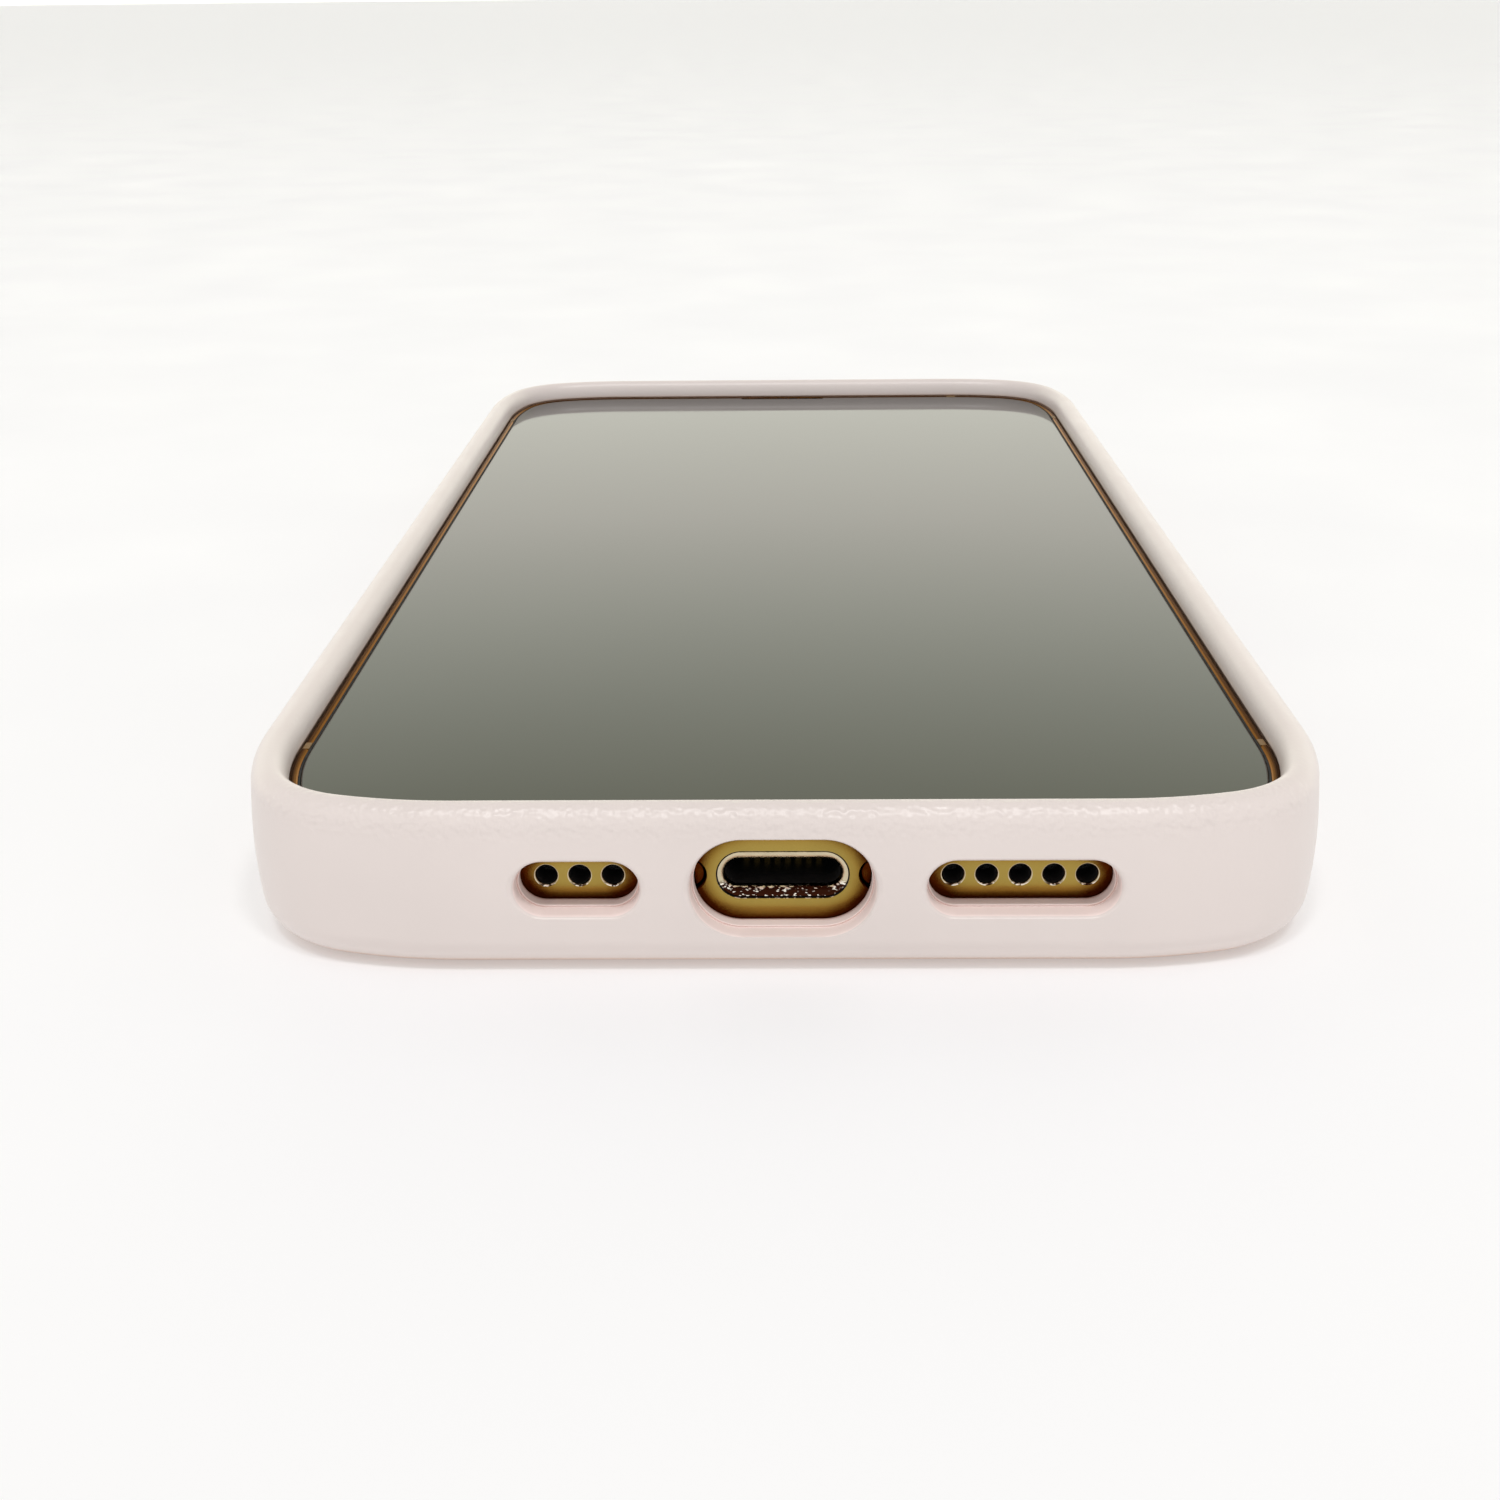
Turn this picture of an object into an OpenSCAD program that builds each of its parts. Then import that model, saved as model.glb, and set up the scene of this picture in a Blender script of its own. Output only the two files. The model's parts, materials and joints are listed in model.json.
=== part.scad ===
// Smartphone in a moulded slip-on case, lying on its back with the screen up.
// Millimetres. +Z runs up through the screen and -Y is the charging end.
// The origin is the middle of the case's footprint, on the surface it lies on.

/* [Phone] */
// Width across the metal band
phone_w = 71.5; // [71.3:0.1:71.7]
// Length from the charging end to the earpiece end
phone_l = 146.7; // [146.5:0.1:147]
// Thickness from back glass to front glass
phone_t = 7.4; // [7.4:0.05:7.5]
// Radius at the middle of each corner of the band, seen from the front
phone_r = 7.4; // [7.2:0.1:7.6]
// Radius of the gentle arcs that lead into each corner
lead_r = 27.4; // [27:0.1:28]

/* [Band] */
// Chamfer along the band's outer edges
band_chamfer = 0.35; // [0.2:0.05:0.45]
// Width of the metal rim beside the glass
band_rim = 0.8; // [0.75:0.05:0.9]
// Thickness of the band's wall
band_wall = 2.3; // [2.25:0.05:2.35]
// Width of the insulating inserts that split the band
insert_w = 1.2; // [0.8:0.1:1.6]

/* [Glass] */
// Thickness of the front glass
front_glass_t = 0.8; // [0.7:0.05:0.85]
// Thickness of the back glass
back_glass_t = 0.7; // [0.6:0.05:0.7]
// Width of the black gasket between band and glass
gasket_w = 0.15; // [0.1:0.01:0.2]

/* [Case] */
// Thickness of the case's side wall
case_wall = 2.2; // [2.1:0.05:2.3]
// Thickness of the case's back, lining included
case_back = 2.6; // [2.5:0.05:2.8]
// Height of the lip above the front glass
lip_h = 2.1; // [1.9:0.05:2.2]
// Radius of the roll over the top of the lip
lip_r = 1.35; // [1.2:0.05:1.4]
// Radius between the wall and the back
foot_r = 2.6; // [2.4:0.1:3]
// How far the wall leans in from its shoulder to its foot
draft = 0.15; // [0:0.05:0.3]
// How far the wall swells outward halfway up
bulge = 0.45; // [0.3:0.05:0.5]
// Thickness of the soft lining on the case's back
lining_t = 0.28; // [0.2:0.02:0.3]

/* [Charging end] */
// Width of the charging port's mouth
port_w = 8; // [7.8:0.1:8.1]
// Height of the charging port's mouth
port_h = 1.9; // [1.8:0.1:2.1]
// Radius of the speaker and microphone holes
hole_r = 0.75; // [0.7:0.01:0.8]
// Distance between neighbouring holes
hole_pitch = 2.25; // [2.1:0.05:2.3]
// Number of microphone holes, left of the port
mic_holes = 3; // [2:1:3]
// Number of speaker holes, right of the port
speaker_holes = 5; // [4:1:5]
// Distance of the end screws from the middle
screw_x = 6.3; // [6.2:0.05:6.4]

/* [Buttons] */
// Length of the power button
power_l = 17; // [16:0.5:18]
// Length of each volume button
volume_l = 10.5; // [10:0.5:11]
// Height of the phone's buttons
button_h = 2.6; // [2.4:0.1:2.8]
// How far the phone's buttons stand out of the band
button_out = 0.3; // [0.25:0.05:0.4]
// How far the case's buttons stand out of the case
case_button_out = 0.5; // [0.4:0.05:0.7]
// Travel of a button when it is pressed
button_travel = 0.25; // [0.2:0.01:0.25]
// Travel of the ring switch
switch_travel = 1.2; // [1:0.1:1.2]

/* [Cameras] */
// Width of the raised camera island
island_w = 16; // [15.5:0.5:16.5]
// Length of the raised camera island
island_l = 36; // [35:0.5:36.5]
// Height of the island above the back glass
island_h = 1.5; // [1.2:0.1:1.6]
// Distance between the two rear lenses
lens_gap = 13.5; // [13.2:0.1:13.8]
// Radius of the metal ring round each rear lens
lens_ring_r = 6; // [5.8:0.1:6.2]

/* [Hidden] */
$fn = 64;
// Free space between pieces that move past each other, and between pieces that rest together
running = 0.15;
snug = 0.02;

// Heights, from the table up
z_back = case_back;
z_glass = case_back + phone_t;
z_mid = case_back + phone_t / 2;
z_lip = z_glass + lip_h;
z_lining = z_back - snug;
z_floor = z_lining - lining_t;
z_back_ledge = z_back + back_glass_t + 0.05;
z_front_ledge = z_glass - front_glass_t - 0.05;
z_plate = z_back_ledge + 0.6;
z_panel = z_glass - front_glass_t - 1.1;
z_board = z_plate + 1.25;
board_t = 0.8;
z_board_top = z_board + board_t;

// Outlines. An outline's radius is the one at the middle of its corners.
// The gentle arcs turn through the angle of lead_way, whose length is 25.
lead_way = [24, 7];
lead_more = lead_r - phone_r;
lead_step = lead_more * lead_way / 25;
plate_rim = 3.5;
// A swept rim is hollow, and a plain slab that laps under it fills its middle
rim_lap = 1;
middle_r = 5;
case_w = phone_w + 2 * case_wall;
case_l = phone_l + 2 * case_wall;
case_r = phone_r + case_wall;
floor_edge = 6;
inner_w = phone_w - 2 * band_wall;
inner_l = phone_l - 2 * band_wall;
inner_r = phone_r - band_wall;
glass_inset = band_rim + gasket_w;
end_y = -phone_l / 2;
inner_end_y = -inner_l / 2;
side_x = phone_w / 2;
inner_x = inner_w / 2;
cavity_gap = 0.05;
insert_x = 23;
insert_y = 58.5;
corner_signs = [[1, 1], [-1, 1], [-1, -1], [1, -1]];

// Charging end: the middles of the two groups of holes, and the case's cutouts
mic_x = -13.7;
speaker_x = 15.95;
case_port_w = 12;
case_port_h = 6.8;
case_hole_h = 3.7;
case_mic_w = 8;
case_speaker_w = 12.4;
case_cut_rise = 0.15;

// Buttons and the ring switch, by their place along the side
power_y = 25;
volume_up_y = 35;
volume_down_y = 20;
switch_y = 48.5;
pocket_x = side_x - 1.5;
stem_r = 0.6;
stem_inset = 2.4;
stem_tip_x = inner_x - 0.25;
case_flange_x = side_x + button_out + snug;
case_flange_t = 0.6;
case_pocket_x = case_flange_x + case_flange_t + 0.05;
case_button_h = 3.6;
case_flange_h = 5;
case_grow = 1.4;
case_switch_w = 9.6;
case_switch_h = 5;
switch_w = 5.6;
switch_h = 1.8;
switch_rest = switch_travel / 2;

// SIM tray in the left side
sim_y = -17.5;
sim_face_l = 14;
sim_face_h = 2.2;
sim_body_w = 11.6;
sim_body_t = 1.1;
sim_end_x = -21.6;

// Cameras, seen from the front: the upper right of the phone
island_x = side_x - 5 - island_w / 2;
island_top_y = phone_l / 2 - 5;
island_y = island_top_y - island_l / 2;
wide_y = island_top_y - island_w / 2;
ultra_y = wide_y - lens_gap;
flash_y = ultra_y - 9.6;
rear_mic_y = flash_y - 3.2;
lens_bore_r = 5;
lens_glass_r = 4.58;
barrel_r = 3.9;
module_w = 12.6;
z_camera_top = z_panel - 0.4;
lens_ring_z = z_back - island_h - 0.2;
case_camera_gap = 0.7;

// Inside
battery = [42.8, 85.5];
battery_x = 10;
battery_y = -4.25;
z_inner_top = z_panel - 0.2;
coil_r = 21.5;
magnet_r = 26.5;
plate_hole_r = 27.2;
board_left = -31.6;
board_right = -13.6;
board_arm_x = 13.8;
board_low_y = -8;
board_arm_y = 41;
board_high_y = 66;
board_screws_at = [[-29.5, 63], [-29.5, -5.8], [-15.7, 30], [11.6, 63], [11.6, 43.2]];
haptic_x = -9;
haptic_y = -55.4;
haptic = [30, 10];
z_haptic = z_plate + 0.35;
haptic_t = 3.5;
haptic_wall = 0.5;
mass_size = [21, 8, 2.35];
speaker_low = [8, inner_end_y + 0.45];
speaker_high = [inner_x - 0.8, -51];
speaker_corner_r = inner_r + 3;
shell_t = 0.6;
front_camera_x = -12;
front_camera_y = 67.6;
earpiece_w = 11;

// ---- outlines and sweeps ----

function arc(centre, r, from, to, steps) =
    [for (i = [0:steps]) centre + r * [cos(from + (to - from) * i / steps),
                                       sin(from + (to - from) * i / steps)]];

module rounded_rect(w, l, r) {
    square([w - 2 * r, l], center = true);
    square([w, l - 2 * r], center = true);
    for (c = corner_signs)
        translate([c.x * (w / 2 - r), c.y * (l / 2 - r)]) circle(r);
}

module slab(w, l, r, low, high) {
    translate([0, 0, low]) linear_extrude(high - low) rounded_rect(w, l, r);
}

module stadium(long, short) {
    square([long - short, short], center = true);
    for (s = [-1, 1])
        translate([s * (long - short) / 2, 0]) circle(d = short);
}

// A prism whose section faces along X, Y or Z
module rounded_along_x(l, h, r, from, to) {
    translate([from, 0, 0]) rotate([90, 0, 90]) linear_extrude(to - from) rounded_rect(l, h, r);
}

module stadium_along_x(long, short, from, to) {
    translate([from, 0, 0]) rotate([90, 0, 90]) linear_extrude(to - from) stadium(long, short);
}

module stadium_along_y(long, short, from, to) {
    translate([0, to, 0]) rotate([90, 0, 0]) linear_extrude(to - from) stadium(long, short);
}

module stadium_along_z(long, short, low, high) {
    translate([0, 0, low]) linear_extrude(high - low) rotate(90) stadium(long, short);
}

// A stadium that widens by grow on every side as it comes up the Z axis
module stadium_flare(long, short, grow, height) {
    half = (long - short) / 2;
    for (s = [-1, 1])
        translate([s * half, 0, 0]) cylinder(r1 = short / 2, r2 = short / 2 + grow, h = height);
    translate([-half, 0, 0]) rotate([90, 0, 90]) linear_extrude(2 * half)
        polygon([[-short / 2, 0], [short / 2, 0], [short / 2 + grow, height],
                 [-short / 2 - grow, height]]);
}

module box(low, high) {
    translate(low) cube(high - low);
}

// Carries a profile round a rounded rectangle. The profile's x runs inward from the outer edge.
module edge_bar(w, length) {
    translate([0, length / 2, 0]) rotate([90, 0, 0]) linear_extrude(length)
        translate([w / 2, 0]) mirror([1, 0]) children();
}

// The part of a quarter turn that lies over the given points
module arc_bar(centre, r, points) {
    intersection() {
        translate([0, 0, -1]) linear_extrude(z_lip + 2) polygon(points);
        translate([centre.x, centre.y, 0]) rotate_extrude(angle = 90)
            translate([r, 0]) mirror([1, 0]) children();
    }
}

// A corner is a tight arc between two gentle ones
module corner_bar(w, l, r, reach) {
    gentle = r + lead_more;
    start = [w / 2 - gentle, l / 2 - reach];
    end = [w / 2 - reach, l / 2 - gentle];
    middle = start + lead_step;
    low_edge = middle + lead_way;
    high_edge = middle + [lead_way.y, lead_way.x];
    arc_bar(start, gentle, [middle, [middle.x, start.y - 1], [low_edge.x, start.y - 1], low_edge])
        children();
    arc_bar(middle, r, [middle, low_edge, [low_edge.x, high_edge.y], high_edge]) children();
    arc_bar(end, gentle, [middle, high_edge, [end.x - 1, high_edge.y], [end.x - 1, middle.y]])
        children();
}

module rim_sweep(w, l, r) {
    reach = r + lead_more + lead_step.y - lead_step.x;
    for (turn = [0, 180]) {
        rotate([0, 0, turn]) {
            edge_bar(w, l - 2 * reach) children();
            corner_bar(w, l, r, reach) children();
        }
        rotate([0, 0, turn + 90]) {
            edge_bar(l, w - 2 * reach) children();
            corner_bar(l, w, r, reach) children();
        }
    }
}

// A flat plate with the phone's own outline
module plate(w, l, r, low, high) {
    rim_sweep(w, l, r) polygon([[0, low], [plate_rim, low], [plate_rim, high], [0, high]]);
    middle_inset = plate_rim - rim_lap;
    slab(w - 2 * middle_inset, l - 2 * middle_inset, middle_r, low, high);
}

// Puts its children, drawn for the right side of the phone, at y on one side or the other
module on_side(side, y) {
    translate([0, y, z_mid]) rotate([0, 0, side > 0 ? 0 : 180]) children();
}

module at_end(x) {
    translate([x, 0, z_mid]) children();
}

module hole_row(count, middle) {
    for (i = [0:count - 1])
        at_end(middle + (i - (count - 1) / 2) * hole_pitch) children();
}

// ---- case ----

function swollen(points) = [for (p = points) [p.x - bulge * sin(180 * p.y / z_lip), p.y]];

function case_section() = concat(
    [[floor_edge, 0]],
    swollen(concat(arc([draft + foot_r, foot_r], foot_r, 270, 180, 6),
                   [[draft / 2, z_mid - 1.2], [0, z_mid + 1.5]],
                   arc([lip_r, z_lip - lip_r], lip_r, 180, 90, 6))),
    arc([lip_r, z_lip - 0.5], 0.5, 68, 24, 2),
    [[case_wall + 0.2, z_glass + 0.35], [case_wall + 0.2, z_glass + cavity_gap],
     [case_wall - cavity_gap, z_glass + cavity_gap], [case_wall - cavity_gap, z_floor],
     [floor_edge, z_floor]]);

module case_button_pocket(length) {
    stadium_along_x(length + case_grow + 2 * running, case_button_h + 2 * running,
                    side_x - 1, case_w / 2 + 1);
    stadium_along_x(length + case_grow + case_flange_h - case_button_h + 2 * running,
                    case_flange_h + 2 * running, side_x - 1, case_pocket_x);
}

module case_end_cut(long, short, grow) {
    translate([0, 0, case_cut_rise]) {
        stadium_along_y(long, short, -case_l / 2 - 1, end_y + 1);
        translate([0, -case_l / 2 - bulge + 0.5, 0]) rotate([90, 0, 0])
            stadium_flare(long, short, grow * 2, 1);
    }
}

module case_shell() {
    middle_inset = floor_edge - rim_lap;
    color([0.89, 0.84, 0.82]) difference() {
        union() {
            rim_sweep(case_w, case_l, case_r) polygon(case_section());
            slab(case_w - 2 * middle_inset, case_l - 2 * middle_inset, middle_r, 0, z_floor);
        }
        at_end(0) case_end_cut(case_port_w, case_port_h, 0.5);
        at_end(mic_x) case_end_cut(case_mic_w, case_hole_h, 0.4);
        at_end(speaker_x) case_end_cut(case_speaker_w, case_hole_h, 0.4);
        on_side(1, power_y) case_button_pocket(power_l);
        on_side(-1, volume_up_y) case_button_pocket(volume_l);
        on_side(-1, volume_down_y) case_button_pocket(volume_l);
        on_side(-1, switch_y) stadium_along_x(case_switch_w, case_switch_h, side_x - 1, case_w / 2 + 1);
        translate([island_x, island_y, 0]) {
            stadium_along_z(island_l + 2 * case_camera_gap, island_w + 2 * case_camera_gap,
                            -1, z_floor + 1);
            translate([0, 0, 0.6]) rotate([180, 0, 90])
                stadium_flare(island_l + 2 * case_camera_gap, island_w + 2 * case_camera_gap,
                              0.7, 0.7);
        }
    }
}

module case_lining() {
    gap = case_camera_gap + 0.3;
    color([0.80, 0.74, 0.71]) difference() {
        plate(phone_w - 0.8, phone_l - 0.8, phone_r - 0.4, z_floor, z_lining);
        translate([island_x, island_y, 0])
            stadium_along_z(island_l + 2 * gap, island_w + 2 * gap, 0, z_back);
    }
}

module case_button(side, y, length) {
    color([0.88, 0.83, 0.81]) on_side(side, y) {
        stadium_along_x(length + case_grow, case_button_h, case_flange_x,
                        case_w / 2 + bulge + case_button_out);
        stadium_along_x(length + case_grow + case_flange_h - case_button_h, case_flange_h,
                        case_flange_x, case_flange_x + case_flange_t);
    }
}

module case_power_button() { case_button(1, power_y, power_l); }
module case_volume_up_button() { case_button(-1, volume_up_y, volume_l); }
module case_volume_down_button() { case_button(-1, volume_down_y, volume_l); }

// ---- band ----

function band_section() = [
    [0, z_back + band_chamfer], [band_chamfer, z_back], [band_rim, z_back],
    [band_rim, z_back_ledge], [band_wall, z_back_ledge], [band_wall, z_front_ledge],
    [band_rim, z_front_ledge], [band_rim, z_glass], [band_chamfer, z_glass],
    [0, z_glass - band_chamfer]];

module whole_band() {
    rim_sweep(phone_w, phone_l, phone_r) polygon(band_section());
}

module insert_places() {
    for (side = [-1, 1], y = [-insert_y, insert_y])
        box([side > 0 ? inner_x - 1 : -side_x - 1, y - insert_w / 2, 0],
            [side > 0 ? side_x + 1 : 1 - inner_x, y + insert_w / 2, z_lip]);
    box([-insert_x - insert_w / 2, end_y - 1, 0],
        [-insert_x + insert_w / 2, inner_end_y + 1, z_lip]);
    box([insert_x - insert_w / 2, -inner_end_y - 1, 0],
        [insert_x + insert_w / 2, 1 - end_y, z_lip]);
}

module button_pocket(length) {
    stadium_along_x(length + 2 * running, button_h + 2 * running, pocket_x - 0.05, side_x + 1);
    for (s = [-1, 1])
        translate([inner_x - 1, s * (length / 2 - stem_inset), 0]) rotate([0, 90, 0])
            cylinder(r = stem_r + running, h = band_wall + 1);
}

module frame_band() {
    color([0.78, 0.66, 0.42]) difference() {
        whole_band();
        insert_places();
        at_end(0) {
            stadium_along_y(port_w, port_h, end_y - 1, inner_end_y + 1);
            translate([0, end_y + 0.5, 0]) rotate([90, 0, 0])
                stadium_flare(port_w, port_h, 0.6, 0.6);
        }
        for (group = [[mic_holes, mic_x], [speaker_holes, speaker_x]])
            hole_row(group[0], group[1])
                translate([0, end_y - 1, 0]) rotate([-90, 0, 0]) cylinder(r = hole_r, h = 5);
        for (s = [-1, 1])
            at_end(s * screw_x) translate([0, end_y, 0]) rotate([-90, 0, 0]) {
                translate([0, 0, -1]) cylinder(r = 0.55, h = 5);
                translate([0, 0, -1]) cylinder(r = 1.02, h = 1.95);
                translate([0, 0, -0.02]) cylinder(r1 = 1.25, r2 = 1.02, h = 0.25);
            }
        on_side(1, power_y) button_pocket(power_l);
        on_side(-1, volume_up_y) button_pocket(volume_l);
        on_side(-1, volume_down_y) button_pocket(volume_l);
        on_side(-1, switch_y) {
            rounded_along_x(switch_w + 0.4, switch_h + switch_travel + 2 * running, 0.8,
                            side_x - 1.2, side_x + 1);
            box([inner_x - 1, -1, -1.3], [side_x, 1, 1.3]);
        }
        on_side(-1, sim_y) {
            stadium_along_x(sim_face_l + 0.1, sim_face_h + 0.1, side_x - 0.95, side_x + 1);
            box([inner_x - 1, -sim_body_w / 2 - 0.2, -sim_body_t / 2 - 0.1],
                [side_x, sim_body_w / 2 + 0.2, sim_body_t / 2 + 0.1]);
        }
    }
}

module antenna_inserts() {
    color([0.74, 0.66, 0.50]) intersection() {
        whole_band();
        insert_places();
    }
}

// ---- chassis, glass and display ----

module chassis_plate() {
    color([0.72, 0.73, 0.75]) difference() {
        union() {
            plate(inner_w - 2 * snug, inner_l - 2 * snug, inner_r - snug, z_back_ledge, z_plate);
            for (p = board_screws_at)
                translate([p.x, p.y, z_back_ledge]) cylinder(r = 1.6, h = z_board - z_back_ledge - snug);
        }
        translate([0, 0, z_back]) cylinder(r = plate_hole_r, h = 3);
        translate([island_x, island_y, 0]) stadium_along_z(island_l - 1, island_w - 1, z_back, z_board);
        box([island_x - module_w / 2 - 0.2, ultra_y - module_w / 2 - 0.2, z_back],
            [island_x + module_w / 2 + 0.2, wide_y + module_w / 2 + 0.2, z_board]);
        for (p = board_screws_at)
            translate([p.x, p.y, z_back_ledge + 0.6]) cylinder(r = 0.6, h = 4);
        for (x = [-26, 0, 26])
            translate([x, -44, 0]) stadium_along_z(9, 3, z_back, z_board);
    }
}

module glass_plate(low, high) {
    plate(phone_w - 2 * glass_inset, phone_l - 2 * glass_inset, phone_r - glass_inset, low, high);
}

module earpiece_notch(margin) {
    edge = phone_l / 2 - glass_inset;
    box([margin - earpiece_w / 2, edge - 0.85 + margin, z_glass - front_glass_t - 0.2],
        [earpiece_w / 2 - margin, edge + 0.01 - margin, z_glass + 1]);
}

module front_glass() {
    color([0.05, 0.05, 0.05]) difference() {
        glass_plate(z_glass - front_glass_t, z_glass);
        earpiece_notch(0);
    }
}

module display_gasket() {
    top = z_glass - 0.1;
    seat = z_glass - front_glass_t;
    color([0.03, 0.03, 0.03]) rim_sweep(phone_w, phone_l, phone_r)
        polygon([[band_rim, z_front_ledge], [band_rim, top], [glass_inset, top],
                 [glass_inset, seat], [band_wall - 0.1, seat], [band_wall - 0.1, z_front_ledge]]);
}

module earpiece_mesh() {
    edge = phone_l / 2 - glass_inset;
    color([0.12, 0.12, 0.12]) difference() {
        box([-earpiece_w / 2 + 0.05, edge - 0.8, z_glass - front_glass_t + 0.02],
            [earpiece_w / 2 - 0.05, edge - 0.03, z_glass - 0.2]);
        for (i = [-8:8], j = [0, 1])
            translate([i * 0.6 + j * 0.3, edge - 0.6 + j * 0.3, z_glass - front_glass_t])
                cylinder(r = 0.11, h = 1);
    }
}

module display_panel() {
    color([0.02, 0.02, 0.03]) difference() {
        plate(inner_w - 0.7, inner_l - 0.7, inner_r - 0.35, z_panel, z_glass - front_glass_t - snug);
        translate([front_camera_x, front_camera_y, z_panel - 1]) cylinder(r = 1.9, h = 3);
    }
}

module display_flex() {
    high = z_panel - snug;
    color([0.75, 0.45, 0.15]) {
        translate([-20, 0, 0]) rotate([90, 0, -90]) linear_extrude(9)
            polygon([[9, high], [9, high - 0.12], [0.12, high - 0.12], [0.12, z_board_top + 0.6],
                     [-5, z_board_top + 0.6], [-5, z_board_top + 0.72], [0, z_board_top + 0.72],
                     [0, high]]);
        box([-28.5, 0.6, z_board_top], [-20.5, 4.6, z_board_top + 0.6]);
    }
}

module back_glass() {
    color([0.83, 0.75, 0.60]) difference() {
        glass_plate(z_back, z_back + back_glass_t);
        translate([island_x, island_y, 0])
            stadium_along_z(island_l - 2, island_w - 2, z_back - 1, z_back + 2);
    }
}

// ---- cameras ----

module at_lenses() {
    for (y = [wide_y, ultra_y])
        translate([island_x, y, 0]) children();
}

module camera_island() {
    color([0.83, 0.75, 0.60]) difference() {
        translate([island_x, island_y, 0]) {
            stadium_along_z(island_l, island_w, z_back - island_h, z_back);
            stadium_along_z(island_l - 2.1, island_w - 2.1, z_back, z_back + back_glass_t);
        }
        at_lenses() cylinder(r = lens_bore_r, h = 5);
        translate([island_x, flash_y, 0]) cylinder(r = 2.05, h = 5);
        translate([island_x, rear_mic_y, 0]) cylinder(r = 0.4, h = 5);
    }
}

module lens_rings() {
    top = z_back - island_h;
    color([0.80, 0.68, 0.45]) at_lenses() rotate_extrude()
        polygon([[4.2, lens_ring_z + 0.5], [4.6, lens_ring_z + 0.5],
                 [4.6, lens_ring_z], [lens_ring_r - 0.1, lens_ring_z], [lens_ring_r, lens_ring_z + 0.1],
                 [lens_ring_r, top], [lens_bore_r - snug, top], [lens_bore_r - snug, top + 1],
                 [4.2, top + 1]]);
}

module lens_covers() {
    color([0.10, 0.10, 0.14]) at_lenses()
        translate([0, 0, lens_ring_z + 0.08]) cylinder(r = lens_glass_r, h = 0.4);
}

module wide_camera_body() {
    half = module_w / 2;
    color([0.20, 0.20, 0.22]) difference() {
        box([island_x - half, wide_y - half, z_back_ledge + 0.1],
            [island_x + half, wide_y + half, z_camera_top]);
        translate([island_x, wide_y, 0]) cylinder(r = barrel_r + 0.2, h = z_camera_top - 1);
    }
}

// The barrel's front face is dished, round the small first lens element
module lens_barrel(y, low, high) {
    translate([island_x, y, 0]) difference() {
        translate([0, 0, low]) cylinder(r = barrel_r, h = high - low);
        translate([0, 0, low - snug]) cylinder(r1 = barrel_r - 0.4, r2 = 1.8, h = 0.5);
    }
}

module wide_lens_barrel() {
    color([0.08, 0.08, 0.09]) lens_barrel(wide_y, lens_ring_z + 1.1, z_camera_top - 1.4);
}

module ultrawide_camera() {
    half = module_w / 2;
    color([0.08, 0.08, 0.09]) {
        lens_barrel(ultra_y, lens_ring_z + 0.9, z_back_ledge + 0.1);
        box([island_x - half, ultra_y - half, z_back_ledge + 0.1],
            [island_x + half, ultra_y + half, z_camera_top]);
    }
}

module flash_lens() {
    color([0.98, 0.95, 0.85]) translate([island_x, flash_y, z_back - island_h]) {
        cylinder(r = 2, h = 0.6);
        cylinder(r = 1.5, h = 0.9);
    }
}

module flash_led() {
    color([0.95, 0.85, 0.35]) box([island_x - 1.2, flash_y - 1.2, z_back - 0.5],
                                  [island_x + 1.2, flash_y + 1.2, z_back + 1.2]);
}

module camera_bracket() {
    color([0.75, 0.76, 0.78]) difference() {
        box([island_x - 7.2, ultra_y - 7, z_camera_top + snug],
            [island_x + 7.2, wide_y + 6.2, z_camera_top + 0.2]);
        at_lenses() translate([0, 0, z_camera_top - 1]) cylinder(r = 3.4, h = 3);
    }
}

module front_camera() {
    color([0.06, 0.06, 0.08]) translate([front_camera_x, front_camera_y, 0]) {
        box([-2.8, -2.8, z_board_top + 0.2], [2.8, 2.8, z_panel - 0.3]);
        translate([0, 0, z_panel - 0.3]) cylinder(r = 1.6, h = 1.1);
    }
}

module earpiece_box() {
    low = [-8, 66.4, z_board_top + 0.4];
    high = [8, inner_l / 2 - 0.3, z_panel - 0.1];
    color([0.22, 0.22, 0.24]) difference() {
        box(low, high);
        box(low + [0.5, 0.5, 0.5], high + [-0.5, -0.5, -0.3]);
        for (x = [-5, 0, 5])
            box([x - 1, high.y - 1.4, high.z - 1], [x + 1, high.y - 0.7, high.z + 1]);
    }
}

module earpiece_diaphragm() {
    color([0.45, 0.35, 0.25]) box([-7.2, 67.2, z_board_top + 1.3], [7.2, 69.9, z_board_top + 1.5]);
}

// ---- power and logic ----

module battery_cell() {
    color([0.10, 0.10, 0.11]) translate([battery_x, battery_y, 0])
        slab(battery.x, battery.y, 1.6, z_plate + 0.05, z_inner_top);
}

module battery_flex() {
    edge = battery_x - battery.x / 2;
    color([0.75, 0.45, 0.15]) {
        box([edge - 8, 3, z_board_top + 0.5], [edge - snug, 8, z_board_top + 0.62]);
        box([edge - 8, 3.4, z_board_top], [edge - 4, 7.6, z_board_top + 0.5]);
    }
}

module logic_board() {
    color([0.10, 0.25, 0.16]) difference() {
        union() {
            box([board_left, board_low_y, z_board], [board_right, board_high_y, z_board_top]);
            box([board_left, board_arm_y, z_board], [board_arm_x, board_high_y, z_board_top]);
        }
        for (p = board_screws_at)
            translate([p.x, p.y, z_board - 1]) cylinder(r = 0.7, h = 3);
    }
}

shield_boxes = [[-30.6, 10, 15, 17], [-30.6, 33, 15, 26], [-12, 42.2, 20, 21.5]];

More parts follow.
